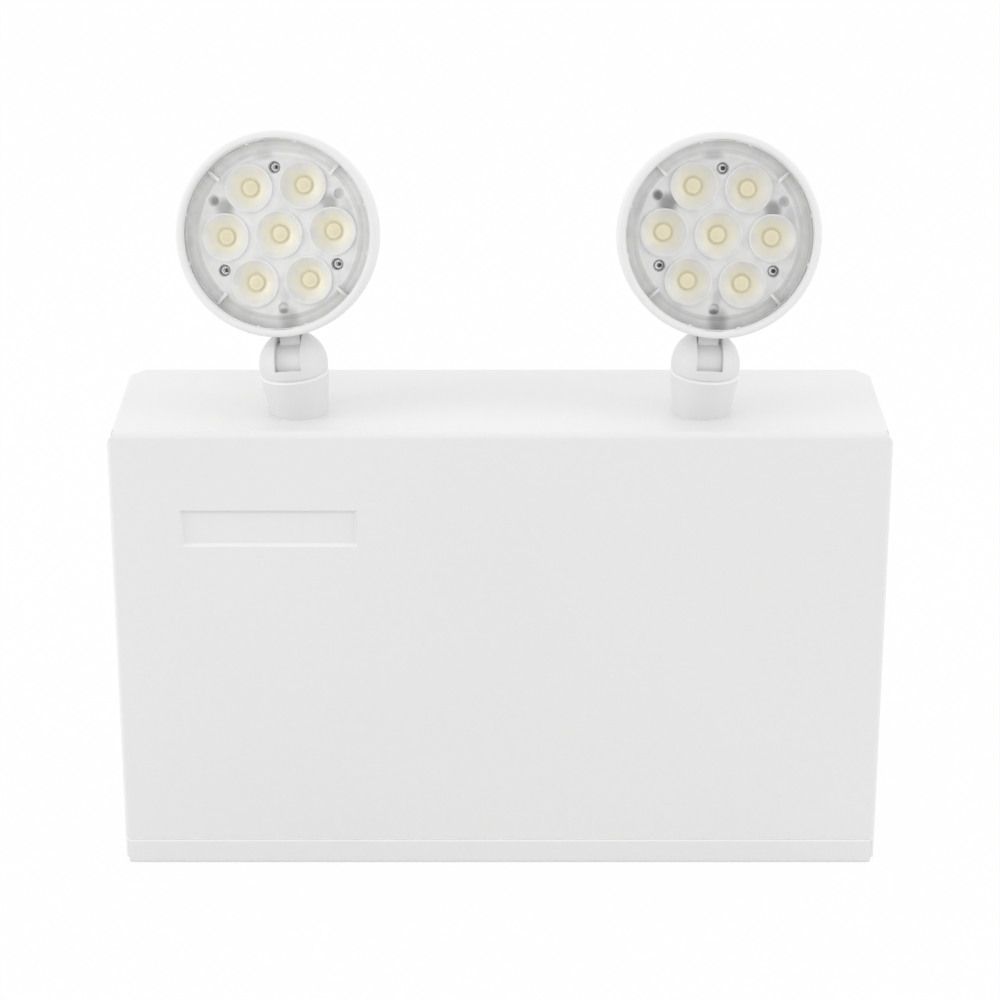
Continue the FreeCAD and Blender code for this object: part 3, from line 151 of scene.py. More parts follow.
class OpticsSettings(bpy.types.PropertyGroup):
    """Clear lens, and the milky plate, emitters and screws behind it."""

    lens_rough: share_property("Lens roughness", "Roughness of the clear lens", 0.02)
    lens_index: FloatProperty(
        name="Lens index", description="Index of refraction of the clear lens", default=1.2, min=1.0
    )
    milk: colour_property("Milk", "Colour of the milky plate", (0.79, 0.79, 0.785))
    # Painted reflection: glow is the yellow of the phosphor painted onto the milky cups round each emitter,
    # which give no light
    glow: colour_property("Glow", "Colour of the milky cups beside the emitters", (0.86, 0.815, 0.635))
    phosphor_reflection_reach: length_property("Glow reach", "Distance from a cup's middle where the glow ends", 0.0105)
    phosphor: colour_property("Phosphor", "Colour of the emitters", (0.80, 0.735, 0.53))
    # Painted light on the emitters towards their edge, which sits in the cup's shade
    phosphor_edge_light: times_property("Phosphor pale", "How much lighter an emitter gets outwards", 1.1)
    cup_ring: length_property("Cup ring", "Distance of the six outer cups from the middle one", 0.0236)
    cup_edge: length_property("Cup edge", "Radius of a cup's outer edge", 0.0105)
    # Painted shade in a fine ring on each emitter's edge, where it meets the cup
    emitter_edge: length_property("Emitter edge", "Radius of the emitters' fine dark ring", 0.0034)
    emitter_ring_shade: share_property("Emitter dark", "Share of light left on the emitters' fine ring", 0.82)
    edge_soft: length_property("Edge softness", "Width over which a cup's or emitter's edge fades", 0.0004)
    haze: length_property("Haze", "Width of one cloud in the milky plate", 0.006)
    haze_smear: length_property("Haze smear", "How far the clouds smear the glow of the emitters", 0.006)
    haze_dark: share_property("Haze dark", "How much darker the clouds are", 0.07)
    # Painted shade: the right plate is made darker all over, and its painted shadows stronger
    right_plate_shade: share_property("Right dim", "Share of lightness that the right, greyer plate keeps", 0.94)
    right_shadow_strength: times_property("Right marks", "How much stronger the marks behind the right plate are", 1.6)
    # Painted light on the slope round the plate's table, strongest at its top, and painted shade towards the
    # plate's rim
    table_half: length_property("Table half", "Half the height of the plate's table", 0.036)
    slope_light: times_property("Slope light", "How much lighter the slope at the table's top is", 1.14)
    slope_inside: length_property("Slope inside", "Radius where the slope round the table starts", 0.0335)
    slope_outside: length_property("Slope outside", "Radius where the slope is at its lightest", 0.0350)
    rim_shade: share_property("Rim shade", "Share of light left at the plate's rim", 0.85)
    rim_inside: length_property("Rim inside", "Radius where the plate starts to get darker", 0.0345)
    rim_outside: length_property("Rim outside", "Radius where the plate is at its darkest", 0.0405)
    collar: length_property("Collar", "Thickness of the milky collars at the emitters' feet", 0.0005)
    collar_ring: length_property("Collar ring", "Radius of a collar's middle line", 0.0039)
    collar_depth: length_property("Collar depth", "Depth of the collars below the bezel's front", 0.01022)
    # Painted shade round each collar, where the emitter's foot sits
    foot: length_property("Foot", "Width of the shade round a collar", 0.0012)
    foot_shade: share_property("Foot shade", "Share of light left right beside a collar", 0.90)
    board: colour_property("Board", "Colour of the lamp boards", (0.76, 0.76, 0.75))
    screw: colour_property("Screw", "Colour of the pale screws in the lamps", (0.95, 0.95, 0.94))
    screw_ring: length_property("Screw ring", "Distance of the three screws from the lamp's middle", 0.0287)
    # Painted shade over each screw's socket, shifted to the right of the socket
    screw_socket: length_property("Screw socket", "Radius of the dark socket in a screw's head", 0.00095)
    screw_shift: length_property("Screw shift", "How far the dark of a socket lies to the right", 0.0005)
    socket_shade: share_property("Socket shade", "Share of light left in a screw's socket", 0.08)
    # Grey rings set in the gaps round the screw heads, standing in for the shade in those gaps: painted shade
    bush: length_property("Bush", "Thickness of the grey bushes round the screw heads", 0.0005)
    bush_ring: length_property("Bush ring", "Radius of a bush's middle line", 0.00248)
    bush_depth: length_property("Bush depth", "Depth of the bushes below the bezel's front", 0.0079)
    gap_shade_grey: colour_property("Bush grey", "Colour of the bushes", (0.55, 0.55, 0.55))


class StageSettings(bpy.types.PropertyGroup):
    """Camera, floor and studio light."""

    camera_back: length_property("Camera back", "Distance of the camera in front of the origin", 1.307)
    camera_up: length_property("Camera up", "Height of the camera above the floor", 0.673)
    camera_dip: FloatProperty(
        name="Camera dip", description="How far the camera looks down", default=math.radians(21.41),
        subtype="ANGLE",
    )
    camera_lens: FloatProperty(
        name="Camera lens", description="Focal length in millimetres", default=112.5, unit="CAMERA"
    )
    camera_sensor: FloatProperty(
        name="Camera sensor", description="Width of the sensor in millimetres", default=36.0, unit="CAMERA"
    )
    camera_end: length_property("Camera end", "Farthest that the camera sees", 50.0)
    surround: times_property("Surround", "Light from all round", 0.985)
    left_lamp: power_property("Left lamp", "Watts of the left soft lamp", 4.5)
    right_lamp: power_property("Right lamp", "Watts of the right soft lamp", 3.5)
    back_lamp: power_property("Back lamp", "Watts of the soft lamp behind", 1.6)
    aim_height: length_property("Aim height", "Height that the lamps are aimed at", 0.18)
    floor: colour_property("Floor", "Colour of the pale floor", (0.80, 0.80, 0.80))
    floor_half: length_property("Floor half", "Half the width of the floor", 6.0)
    floor_drop: length_property("Floor drop", "How far the floor lies below the cabinet", 0.0004)
    floor_white: share_property("Floor white", "Share of white in the floor as it is seen", 0.96)
    floor_rough: share_property("Floor roughness", "Roughness of the floor", 0.9)


# Shader trees
NUMBER = "NodeSocketFloat"
VECTOR = "NodeSocketVector"


def add(tree, kind, inputs=(), **settings):
    """Adds a node: settings are its properties, inputs are socket values or the outputs that feed them."""
    node = tree.nodes.new(kind)
    for name, value in settings.items():
        setattr(node, name, value)
    for name, value in dict(inputs).items():
        socket = node.inputs[name]
        if isinstance(value, bpy.types.NodeSocket):
            tree.links.new(value, socket)
        else:
            socket.default_value = value
    return node


def calculate(tree, operation, *values):
    """Result of a math node, whose values are numbers or outputs."""
    return add(tree, "ShaderNodeMath", enumerate(values), operation=operation).outputs["Value"]


def calculate_vector(tree, operation, *values, output="Vector"):
    """Result of a vector math node: a vector, or a number from the output called Value."""
    return add(tree, "ShaderNodeVectorMath", enumerate(values), operation=operation).outputs[output]


def ramp(tree, value, start, end, low=0.0, high=1.0, change="LINEAR"):
    """Goes from low to high while a value goes from start to end."""
    node = add(tree, "ShaderNodeMapRange", {
        "Value": value, "From Min": start, "From Max": end, "To Min": low, "To Max": high,
    }, interpolation_type=change)
    return node.outputs["Result"]


def soft_ramp(tree, value, start, end, low, high):
    """The same, with a smooth start and end."""
    return ramp(tree, value, start, end, low, high, change="SMOOTHSTEP")


def noise(tree, place, scale, detail):
    return add(tree, "ShaderNodeTexNoise", {"Vector": place, "Scale": scale, "Detail": detail})


def split(tree, place):
    """The three coordinates of a place, as outputs X, Y and Z."""
    return add(tree, "ShaderNodeSeparateXYZ", {"Vector": place}).outputs


def opaque(colour):
    return (*colour, 1.0)


def new_group(name, inputs, outputs):
    """Shader node group with named sockets: returns its tree, its input node and its output node."""
    tree = bpy.data.node_groups.new(name, "ShaderNodeTree")
    for direction, sockets in (("INPUT", inputs), ("OUTPUT", outputs)):
        for socket, kind in sockets.items():
            tree.interface.new_socket(socket, in_out=direction, socket_type=kind)
    return tree, tree.nodes.new("NodeGroupInput"), tree.nodes.new("NodeGroupOutput")


# Grain: detail of the coarse and the fine bumps, share of the fine ones, broad patches per metre and their
# detail, and the range of bump plus patch over which the shade changes
COARSE_DETAIL = 2.0
FINE_DETAIL = 1.0
FINE_SHARE = 0.4
PATCH_SCALE = 9.0
PATCH_DETAIL = 3.0
MOTTLE_LOW = 0.6
MOTTLE_HIGH = 1.4


def grain_group():
    """Two sizes of round bumps over broad patches.

    Height is for a bump node, Shade is a factor close to one for the colour, and Patch varies the gloss.
    """
    name = "Fine grain"
    if name in bpy.data.node_groups:
        return bpy.data.node_groups[name]
    tree, source, result = new_group(
        name,
        {"Vector": VECTOR, "Coarse Scale": NUMBER, "Fine Scale": NUMBER, "Tone": NUMBER},
        {"Height": NUMBER, "Shade": NUMBER, "Patch": NUMBER},
    )
    place = source.outputs["Vector"]
    coarse = noise(tree, place, source.outputs["Coarse Scale"], COARSE_DETAIL)
    fine = noise(tree, place, source.outputs["Fine Scale"], FINE_DETAIL)
    patch = noise(tree, place, PATCH_SCALE, PATCH_DETAIL).outputs["Fac"]
    height = add(tree, "ShaderNodeMix", {
        "Factor": FINE_SHARE, "A": coarse.outputs["Fac"], "B": fine.outputs["Fac"],
    }).outputs["Result"]
    mottle = calculate(tree, "ADD", patch, height)
    darkest = calculate(tree, "SUBTRACT", 1.0, source.outputs["Tone"])
    shade = ramp(tree, mottle, MOTTLE_LOW, MOTTLE_HIGH, low=darkest)
    tree.links.new(height, result.inputs["Height"])
    tree.links.new(shade, result.inputs["Shade"])
    tree.links.new(patch, result.inputs["Patch"])
    return tree


# Ridges, in pitches: height of a ridge's top, height up to which its side is shaded, depth of the relief
RIDGE_TOP = 0.5
GROOVE_TOP = 0.2
RIDGE_RELIEF = 0.25


def lines_group():
    """Even ridges across one direction: Height for a bump node, and Shade, darker in the grooves."""
    name = "Layer lines"
    if name in bpy.data.node_groups:
        return bpy.data.node_groups[name]
    tree, source, result = new_group(
        name,
        {"Across": NUMBER, "Lines per Metre": NUMBER, "Groove Shade": NUMBER},
        {"Height": NUMBER, "Shade": NUMBER},
    )
    count = calculate(tree, "MULTIPLY", source.outputs["Across"], source.outputs["Lines per Metre"])
    ridge = calculate(tree, "PINGPONG", count, RIDGE_TOP)
    shade = ramp(tree, ridge, 0.0, GROOVE_TOP, low=source.outputs["Groove Shade"])
    tree.links.new(ridge, result.inputs["Height"])
    tree.links.new(shade, result.inputs["Shade"])
    return tree


# Takes the depth out of a spot on a lamp's face
FLATTEN = (1.0, 1.0, 0.0)


def axes_group(name, axes):
    """Distance of a spot on a lamp's face from the nearest of several axes that stand on the face."""
    if name in bpy.data.node_groups:
        return bpy.data.node_groups[name]
    tree, source, result = new_group(name, {"Vector": VECTOR}, {"Distance": NUMBER})
    flat = calculate_vector(tree, "MULTIPLY", source.outputs["Vector"], FLATTEN)
    nearest = None
    for axis in axes:
        apart = calculate_vector(tree, "DISTANCE", flat, tuple(axis), output="Value")
        nearest = apart if nearest is None else calculate(tree, "MINIMUM", nearest, apart)
    tree.links.new(nearest, result.inputs["Distance"])
    return tree


def new_material(name):
    """Empty material: returns it with its tree, its Principled shader and its output node."""
    material = bpy.data.materials.new(name)
    material.use_nodes = True
    tree = material.node_tree
    tree.nodes.clear()
    shader = tree.nodes.new("ShaderNodeBsdfPrincipled")
    output = add(tree, "ShaderNodeOutputMaterial", {"Surface": shader.outputs["BSDF"]})
    return material, tree, shader, output


class Finish:
    """Surface whose colour, roughness and relief vary: a fine grain first, then more shades on top of it.

    Coarse and fine are the widths in metres of the grain's two sizes of bump.
    """

    def __init__(self, name, colour, coarse, fine, tone=0.03, bump=0.1, roughness=(0.4, 0.5), metallic=0.0):
        self.material, self.tree, self.shader = new_material(name)[:3]
        self.place = add(self.tree, "ShaderNodeTexCoord").outputs["Object"]
        self.colour = opaque(colour)
        grain = add(self.tree, "ShaderNodeGroup", {
            "Vector": self.place, "Coarse Scale": 1 / coarse, "Fine Scale": 1 / fine, "Tone": tone,
        }, node_tree=grain_group())
        gloss = ramp(self.tree, grain.outputs["Patch"], 0.0, 1.0, *roughness)
        self.tree.links.new(gloss, self.shader.inputs["Roughness"])
        self.shader.inputs["Metallic"].default_value = metallic
        self.shade(grain.outputs["Shade"])
        self.raise_relief(grain.outputs["Height"], bump, coarse)

    def shade(self, factor):
        """Multiplies the surface's colour by a factor that varies."""
        self.mix({"Factor": 1.0, "A": self.colour, "B": factor}, "MULTIPLY")

    def tint(self, colour, mask):
        """Mixes another colour in where the mask is high."""
        self.mix({"Factor": mask, "A": self.colour, "B": opaque(colour)}, "MIX")

    def mix(self, inputs, blend):
        node = add(self.tree, "ShaderNodeMix", inputs, data_type="RGBA", blend_type=blend)
        self.colour = node.outputs["Result"]
        self.tree.links.new(self.colour, self.shader.inputs["Base Color"])

    def raise_relief(self, height, strength, distance):
        """Adds a bump over the relief that is there already."""
        bump = add(self.tree, "ShaderNodeBump", {
            "Strength": strength, "Distance": distance, "Height": height,
        })
        for link in self.shader.inputs["Normal"].links:
            self.tree.links.new(link.from_socket, bump.inputs["Normal"])
        self.tree.links.new(bump.outputs["Normal"], self.shader.inputs["Normal"])

    def draw_lines(self, axis, pitch, groove, strength):
        """Lays even ridges across one axis of the model, such as laminations, tape or brush marks."""
        across = split(self.tree, self.place)[axis]
        lines = add(self.tree, "ShaderNodeGroup", {
            "Across": across, "Lines per Metre": 1 / pitch, "Groove Shade": groove,
        }, node_tree=lines_group())
        self.shade(lines.outputs["Shade"])
        self.raise_relief(lines.outputs["Height"], strength, pitch * RIDGE_RELIEF)


def clear_lens_material(settings):
    """Clear polycarbonate that lets shadow and diffuse rays straight through, so that the optics are lit."""
    material, tree, shader, output = new_material("clear_polycarbonate")
    shader.inputs["Base Color"].default_value = WHITE
    shader.inputs["Transmission Weight"].default_value = 1.0
    shader.inputs["Roughness"].default_value = settings.lens_rough
    shader.inputs["IOR"].default_value = settings.lens_index
    path = add(tree, "ShaderNodeLightPath").outputs
    passing = calculate(tree, "MAXIMUM", path["Is Shadow Ray"], path["Is Diffuse Ray"])
    through = add(tree, "ShaderNodeBsdfTransparent")
    mix = add(tree, "ShaderNodeMixShader", {
        0: passing, 1: shader.outputs["BSDF"], 2: through.outputs["BSDF"],
    })
    tree.links.new(mix.outputs["Shader"], output.inputs["Surface"])
    return material


# Hardware and inner pieces by material slot: colour, widths of the coarse and the fine bumps, tone, bump,
# roughness from and to, and metallic
HARDWARE = {
    "screw_steel": ((0.56, 0.56, 0.57), 0.0012, 0.0002, 0.2, 0.05, (0.22, 0.4), 1.0),
    "strap_steel": ((0.50, 0.51, 0.52), 0.005, 0.0006, 0.35, 0.04, (0.3, 0.55), 1.0),
    "battery_case": ((0.02, 0.02, 0.022), 0.0009, 0.0003, 0.3, 0.2, (0.4, 0.5), 0.0),
    "blade_tin": ((0.62, 0.60, 0.56), 0.001, 0.0002, 0.15, 0.05, (0.2, 0.4), 1.0),
    "board_green": ((0.01, 0.11, 0.035), 0.004, 0.0008, 0.45, 0.1, (0.25, 0.4), 0.0),
    "standoff_brass": ((0.62, 0.44, 0.16), 0.001, 0.0002, 0.2, 0.05, (0.2, 0.4), 1.0),
    "relay_case": ((0.02, 0.025, 0.035), 0.002, 0.0004, 0.2, 0.04, (0.15, 0.3), 0.0),
    "capacitor_sleeve": ((0.012, 0.015, 0.04), 0.003, 0.0005, 0.25, 0.06, (0.15, 0.3), 0.0),
    "terminal_plastic": ((0.02, 0.12, 0.05), 0.001, 0.0003, 0.2, 0.08, (0.4, 0.5), 0.0),
    "switch_black": ((0.012, 0.012, 0.013), 0.0012, 0.0003, 0.25, 0.05, (0.2, 0.35), 0.0),
    "button_red": ((0.42, 0.012, 0.012), 0.0012, 0.0003, 0.12, 0.04, (0.2, 0.35), 0.0),
    "pilot_red": ((0.50, 0.015, 0.012), 0.0016, 0.0004, 0.12, 0.03, (0.08, 0.2), 0.0),
    "core_iron": ((0.05, 0.05, 0.054), 0.002, 0.0004, 0.3, 0.1, (0.35, 0.6), 0.6),
    "coil_tape": ((0.50, 0.25, 0.03), 0.003, 0.0005, 0.2, 0.1, (0.2, 0.4), 0.0),
    "sink_aluminium": ((0.56, 0.57, 0.58), 0.002, 0.0003, 0.15, 0.1, (0.3, 0.5), 1.0),
}
# Ridges on some of them: the axis that they lie across, their pitch, groove shade and strength
HARDWARE_RIDGES = {
    "core_iron": ("Y", 0.0005, 0.5, 0.5),
    "coil_tape": ("Z", 0.006, 0.75, 0.3),
    "sink_aluminium": ("X", 0.0004, 0.85, 0.2),
}


def finish_slot(slot, material):
    """Gives a material to all the CAD nodes that share a material slot of the record."""
    for node, named in NODE_SLOTS.items():
        if named == slot:
            finish_node(node, material)


def finish_node(node, material):
    """Gives a CAD node a material in place of its plain one."""
    for slot in frame["nodes"][node].material_slots:
        slot.material = material


# Places, read from the frame


def node_points(node):
    """All vertices of a CAD node as an array of rows."""
    mesh = frame["nodes"][node].data
    flat = np.empty(len(mesh.vertices) * 3)
    mesh.vertices.foreach_get("co", flat)
    return flat.reshape(-1, 3)


def joint_named(name):
    return next(joint for joint in frame["joints"] if joint["name"] == name)


class Face:
    """Frame of one lamp's face: right, up and out of it, from the middle of the bezel's front.

    Out is the thinnest direction of the lens disc, right is the tilt joint's axis.
    """

    def __init__(self, side):
        lens = node_points(f"{side}_front_lens")
        out = np.linalg.svd(lens - lens.mean(axis=0), full_matrices=False)[2][2]
        self.out = out if out[1] < 0 else -out
        self.right = np.array(joint_named(f"{side}_tilt")["axis"])
        self.right -= self.out * (self.right @ self.out)
        self.right /= np.linalg.norm(self.right)
        self.up = np.cross(self.out, self.right)
        self.axes = np.array([self.right, self.up, self.out])
        self.origin = np.zeros(3)
        disc = self.local(lens)
        bezel = self.local(node_points(f"{side}_bezel_ring"))
        middle = (disc.min(axis=0) + disc.max(axis=0)) / 2
        self.origin = np.array([middle[0], middle[1], bezel[:, 2].max()]) @ self.axes

    def local(self, points):
        return (points - self.origin) @ self.axes.T

    def world(self, points):
        return points @ self.axes + self.origin


def on_face(finish, face):
    """Object coordinates turned into those of a lamp's face: x right, y up and z out of it."""
    turn = Matrix(face.axes.tolist()).to_euler()
    shift = face.axes @ face.origin
    mapping = add(finish.tree, "ShaderNodeMapping", {
        "Vector": finish.place, "Location": tuple(-shift), "Rotation": tuple(turn),
    })
    return mapping.outputs["Vector"]


# New pieces: points round a ring, points round a section, and rows along each round end of the hem
RING_ROWS = 144
RING_COLUMNS = 16
HEM_END_ROWS = 6
# Depth within which the chassis counts as its front lip
LIP_DEPTH = 0.1 * MM
# Power of a section's waves: round, and the washers' nearly rectangular one
ROUND = 1.0
SQUARE = 0.25


def tube_quads(rows, columns, last_row):
    """Quads between each row of points up to the last one and the row after it, as four point numbers."""
    row, column = np.meshgrid(np.arange(last_row), np.arange(columns), indexing="ij")
    next_row = (row + 1) % rows
    next_column = (column + 1) % columns
    corners = (
        row * columns + column, row * columns + next_column,
        next_row * columns + next_column, next_row * columns + column,
    )
    return np.stack(corners, axis=-1).reshape(-1, 4)


def ring_faces():
    """Faces of a ring: quads on a grid of points that closes on itself both ways."""
    return tube_quads(RING_ROWS, RING_COLUMNS, RING_ROWS)


def rod_faces(rows, columns):
    """Faces of a rod: quads between its rows of points, and triangles round the pole at each end."""
    quads = tube_quads(rows, columns, rows - 1)
    ring = np.arange(columns)
    next_one = (ring + 1) % columns
    first_pole = np.full(columns, rows * columns)
    last_ring = (rows - 1) * columns
    first_fan = np.stack((first_pole, next_one, ring), axis=-1)
    last_fan = np.stack((first_pole + 1, last_ring + ring, last_ring + next_one), axis=-1)
    return quads.tolist() + first_fan.tolist() + last_fan.tolist()


def new_piece(name, points, faces, body, material):
    """Makes a mesh of worked-out points and faces that rides on a body and takes a slot's finish."""
    mesh = bpy.data.meshes.new(name)
    mesh.from_pydata(points.tolist(), [], faces)
    mesh.materials.append(material)
    mesh.shade_smooth()
    piece = bpy.data.objects.new(name, mesh)
    bpy.context.scene.collection.objects.link(piece)
    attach(piece, body)


def full_turn(steps):
    return np.linspace(0.0, 2 * math.pi, steps, endpoint=False)


def lip_hem(settings, material):
    """Rolled hem along the chassis lip's upper edge, a round rod of two parameters with round ends.

    Along x it runs from pole to pole. Its radius is hem * sin a, where a goes from 0 at the pole to a right
    angle at hem * (1 - cos a) from the end. A point is the middle line + radius * (cos v in y, sin v in z).
    """
    chassis = node_points("back_chassis")
    front = chassis[:, 1].min()
    lip = chassis[chassis[:, 1] < front + LIP_DEPTH]
    half = lip[:, 0].max()
    turn = np.linspace(0.0, math.pi / 2, HEM_END_ROWS + 1)[1:]
    inward = half - settings.hem * (1 - np.cos(turn))
    across = np.concatenate([-inward, inward[::-1]])[:, None]
    radius = settings.hem * np.concatenate([np.sin(turn), np.sin(turn)[::-1]])[:, None]
    section = full_turn(RING_COLUMNS)[None]
    deep = front + settings.hem
    high = lip[:, 2].max() - settings.hem_sink
    rows = np.stack(np.broadcast_arrays(
        across, deep + radius * np.cos(section), high + radius * np.sin(section),
    ), axis=-1)
    poles = np.array([[-half, deep, high], [half, deep, high]])
    points = np.concatenate([rows.reshape(-1, 3), poles])
    faces = rod_faces(2 * HEM_END_ROWS, RING_COLUMNS)
    new_piece("lip_hem", points, faces, "cabinet", material)


def ring_points(centre, axis, middle, breadth, thick, power):
    """Ring of two parameters: an oval section carried round an axis.

    The section is along = thick / 2 * p(cos v) and away = middle + breadth / 2 * p(sin v), where p keeps the
    sign and raises the size to a power: 1 gives an oval, and less is nearer to a rectangle. A point is
    centre + axis * along + (first * cos u + second * sin u) * away.
    """
    axis = np.array(axis) / np.linalg.norm(axis)
    first = np.cross(axis, (0.0, 0.0, 1.0))
    first /= np.linalg.norm(first)
    second = np.cross(axis, first)
    turn = full_turn(RING_ROWS)[:, None, None]
    section = full_turn(RING_COLUMNS) + math.pi / RING_COLUMNS
    waves = [np.sign(wave) * np.abs(wave) ** power for wave in (np.cos(section), np.sin(section))]
    along = (thick / 2 * waves[0])[None, :, None]
    away = (middle + breadth / 2 * waves[1])[None, :, None]
    points = np.array(centre) + axis * along + (first * np.cos(turn) + second * np.sin(turn)) * away
    return points.reshape(-1, 3)


def friction_washers(side, settings, material):
    """Two thin washers, one between each end of the neck's barrel and the dome's cheek beside it."""
    tilt = joint_named(f"{side}_tilt")
    middle = (settings.washer + settings.washer_bore) / 2
    breadth = settings.washer - settings.washer_bore
    for number, sign in ((1, -1), (2, 1)):
        centre = np.array(tilt["pos_m"]) + np.array(tilt["axis"]) * sign * settings.washer_aside
        points = ring_points(centre, tilt["axis"], middle, breadth, settings.washer_thick, SQUARE)
        new_piece(
            f"{side}_friction_washer_{number}", points, ring_faces().tolist(),
            f"{side}_swivel", material,
        )


def lens_bead(side, settings, material):
    """Round bead in the bezel's throat that holds the lens."""
    face = Face(side)
    centre = face.world(np.array([0.0, 0.0, -settings.bead_depth]))
    points = ring_points(centre, face.out, settings.bead_ring, settings.bead, settings.bead, ROUND)
    new_piece(
        f"{side}_lens_bead", points, ring_faces().tolist(), f"{side}_head", material
    )


def rings_on_face(name, face, spots, depth, ring, thick, body, material):
    """The same round ring at several spots of a lamp's face, as one piece."""
    points = ring_points(np.zeros(3), face.out, ring, thick, thick, ROUND)
    shifts = face.world(spots - np.array([0.0, 0.0, depth]))
    numbers = np.arange(len(shifts))[:, None, None] * len(points)
    all_points = (points[None] + shifts[:, None]).reshape(-1, 3)
    all_faces = (ring_faces()[None] + numbers).reshape(-1, 4)
    new_piece(name, all_points, all_faces.tolist(), body, material)


# Optics: clock angles on a lamp's face, from the right in degrees
CUP_ANGLES = (0, 60, 120, 180, 240, 300)
SCREW_ANGLES = (90, 210, 330)
# Clouds in the milky plate: their detail, the range over which they lighten, and what centres their colour
HAZE_DETAIL = 2.0
CLOUD_LOW = 0.3
CLOUD_HIGH = 0.6
CENTRE_COLOUR = (-0.5, -0.5, -0.5)
# Shares of an emitter's radius where its painted light starts and where it is strongest
EDGE_LIGHT_FROM = 0.4
EDGE_LIGHT_TO = 0.85
# Shares of a screw socket's radius between which its painted shade fades
SOCKET_FROM = 0.8
SOCKET_TO = 1.2
# Painted shadows of what lies behind the milky plate and between its cups: clock angle, then in millimetres
# distance from the middle, half length round the ring and half width along the radius, and how dark the
# mark is
SHADOW_MARKS = (
    (150.0, 31.6, 2.6, 2.4, 0.58),
    (30.0, 31.8, 2.4, 2.2, 0.25),
    (270.0, 33.2, 2.6, 1.6, 0.45),
    (151.0, 26.2, 5.2, 5.4, 0.42),
    (28.0, 26.0, 5.0, 4.8, 0.40),
    (273.5, 36.8, 5.4, 7.0, 0.28),
    (272.0, 27.6, 2.6, 5.0, 0.14),
    (98.0, 34.2, 6.0, 2.4, 0.18),
    (18.0, 32.5, 6.5, 3.5, 0.10),
    (160.0, 36.5, 9.0, 3.0, 0.08),
)
# Shares of a mark's half size between which it fades
MARK_FROM = 0.3
MARK_TO = 1.1


def marks_group():
    """Soft painted shadows on a lamp's face: Light is one on the bare plate and less on a mark."""
    name = "Marks behind the plate"
    if name in bpy.data.node_groups:
        return bpy.data.node_groups[name]
    tree, source, result = new_group(name, {"Vector": VECTOR}, {"Light": NUMBER})
    light = None
    for angle, away, half_round, half_out, dark in SHADOW_MARKS:
        turned = add(tree, "ShaderNodeMapping", {
            "Vector": source.outputs["Vector"], "Rotation": (0.0, 0.0, -math.radians(angle)),
        }).outputs["Vector"]
        centred = calculate_vector(tree, "SUBTRACT", turned, (away * MM, 0.0, 0.0))
        sizes = (1 / (half_out * MM), 1 / (half_round * MM), 0.0)
        scaled = calculate_vector(tree, "MULTIPLY", centred, sizes)
        reach = calculate_vector(tree, "LENGTH", scaled, output="Value")
        mark = soft_ramp(tree, reach, MARK_FROM, MARK_TO, 1.0 - dark, 1.0)
        light = mark if light is None else calculate(tree, "MULTIPLY", light, mark)
    tree.links.new(light, result.inputs["Light"])
    return tree


def around(ring, angles):
    """Spots on a lamp's face at the same distance from its middle, by clock angle."""
    turns = np.radians(np.array(angles, dtype=float))
    return np.stack([ring * np.cos(turns), ring * np.sin(turns), np.zeros(len(turns))], axis=-1)


def cup_axes(settings):
    return np.concatenate([np.zeros((1, 3)), around(settings.cup_ring, CUP_ANGLES)])


def axis_distance(finish, spot, name, axes):
    group = add(finish.tree, "ShaderNodeGroup", {"Vector": spot}, node_tree=axes_group(name, axes))
    return group.outputs["Distance"]


def cup_distance(finish, spot, settings):
    return axis_distance(finish, spot, "Cup distance", cup_axes(settings))


def phosphor_reflection_through_haze(finish, spot, glow, settings):
    """Darkens a milky plate in clouds, and adds the phosphor's painted reflection round the emitters, smeared
    by the same clouds.
    """
    tree = finish.tree
    cloud = noise(tree, spot, 1 / settings.haze, HAZE_DETAIL).outputs
    drift = calculate_vector(tree, "ADD", cloud["Color"], CENTRE_COLOUR)
    smear = add(tree, "ShaderNodeVectorMath", {0: drift, "Scale": settings.haze_smear}, operation="SCALE")
    hazy = calculate_vector(tree, "ADD", spot, smear.outputs["Vector"])
    finish.shade(soft_ramp(tree, cloud["Fac"], CLOUD_LOW, CLOUD_HIGH, 1.0 - settings.haze_dark, 1.0))
    away = cup_distance(finish, hazy, settings)
    # Painted reflection of the yellow phosphor in the milky cups
    finish.tint(glow, soft_ramp(tree, away, settings.emitter_edge, settings.phosphor_reflection_reach, 1.0, 0.0))


def slope_and_rim(finish, spot, settings):
    """Paints light on the slope round a plate's table, most at its top, and shade on the rim outside it."""
    tree = finish.tree
    flat = calculate_vector(tree, "MULTIPLY", spot, FLATTEN)
    away = calculate_vector(tree, "LENGTH", flat, output="Value")
    height = split(tree, spot)["Y"]
    lift = ramp(tree, height, -settings.table_half, settings.table_half, 1.0, settings.slope_light)
    slope = soft_ramp(tree, away, settings.slope_inside, settings.slope_outside, 1.0, lift)
    rim = soft_ramp(tree, away, settings.rim_inside, settings.rim_outside, 1.0, settings.rim_shade)
    finish.shade(calculate(tree, "MULTIPLY", slope, rim))


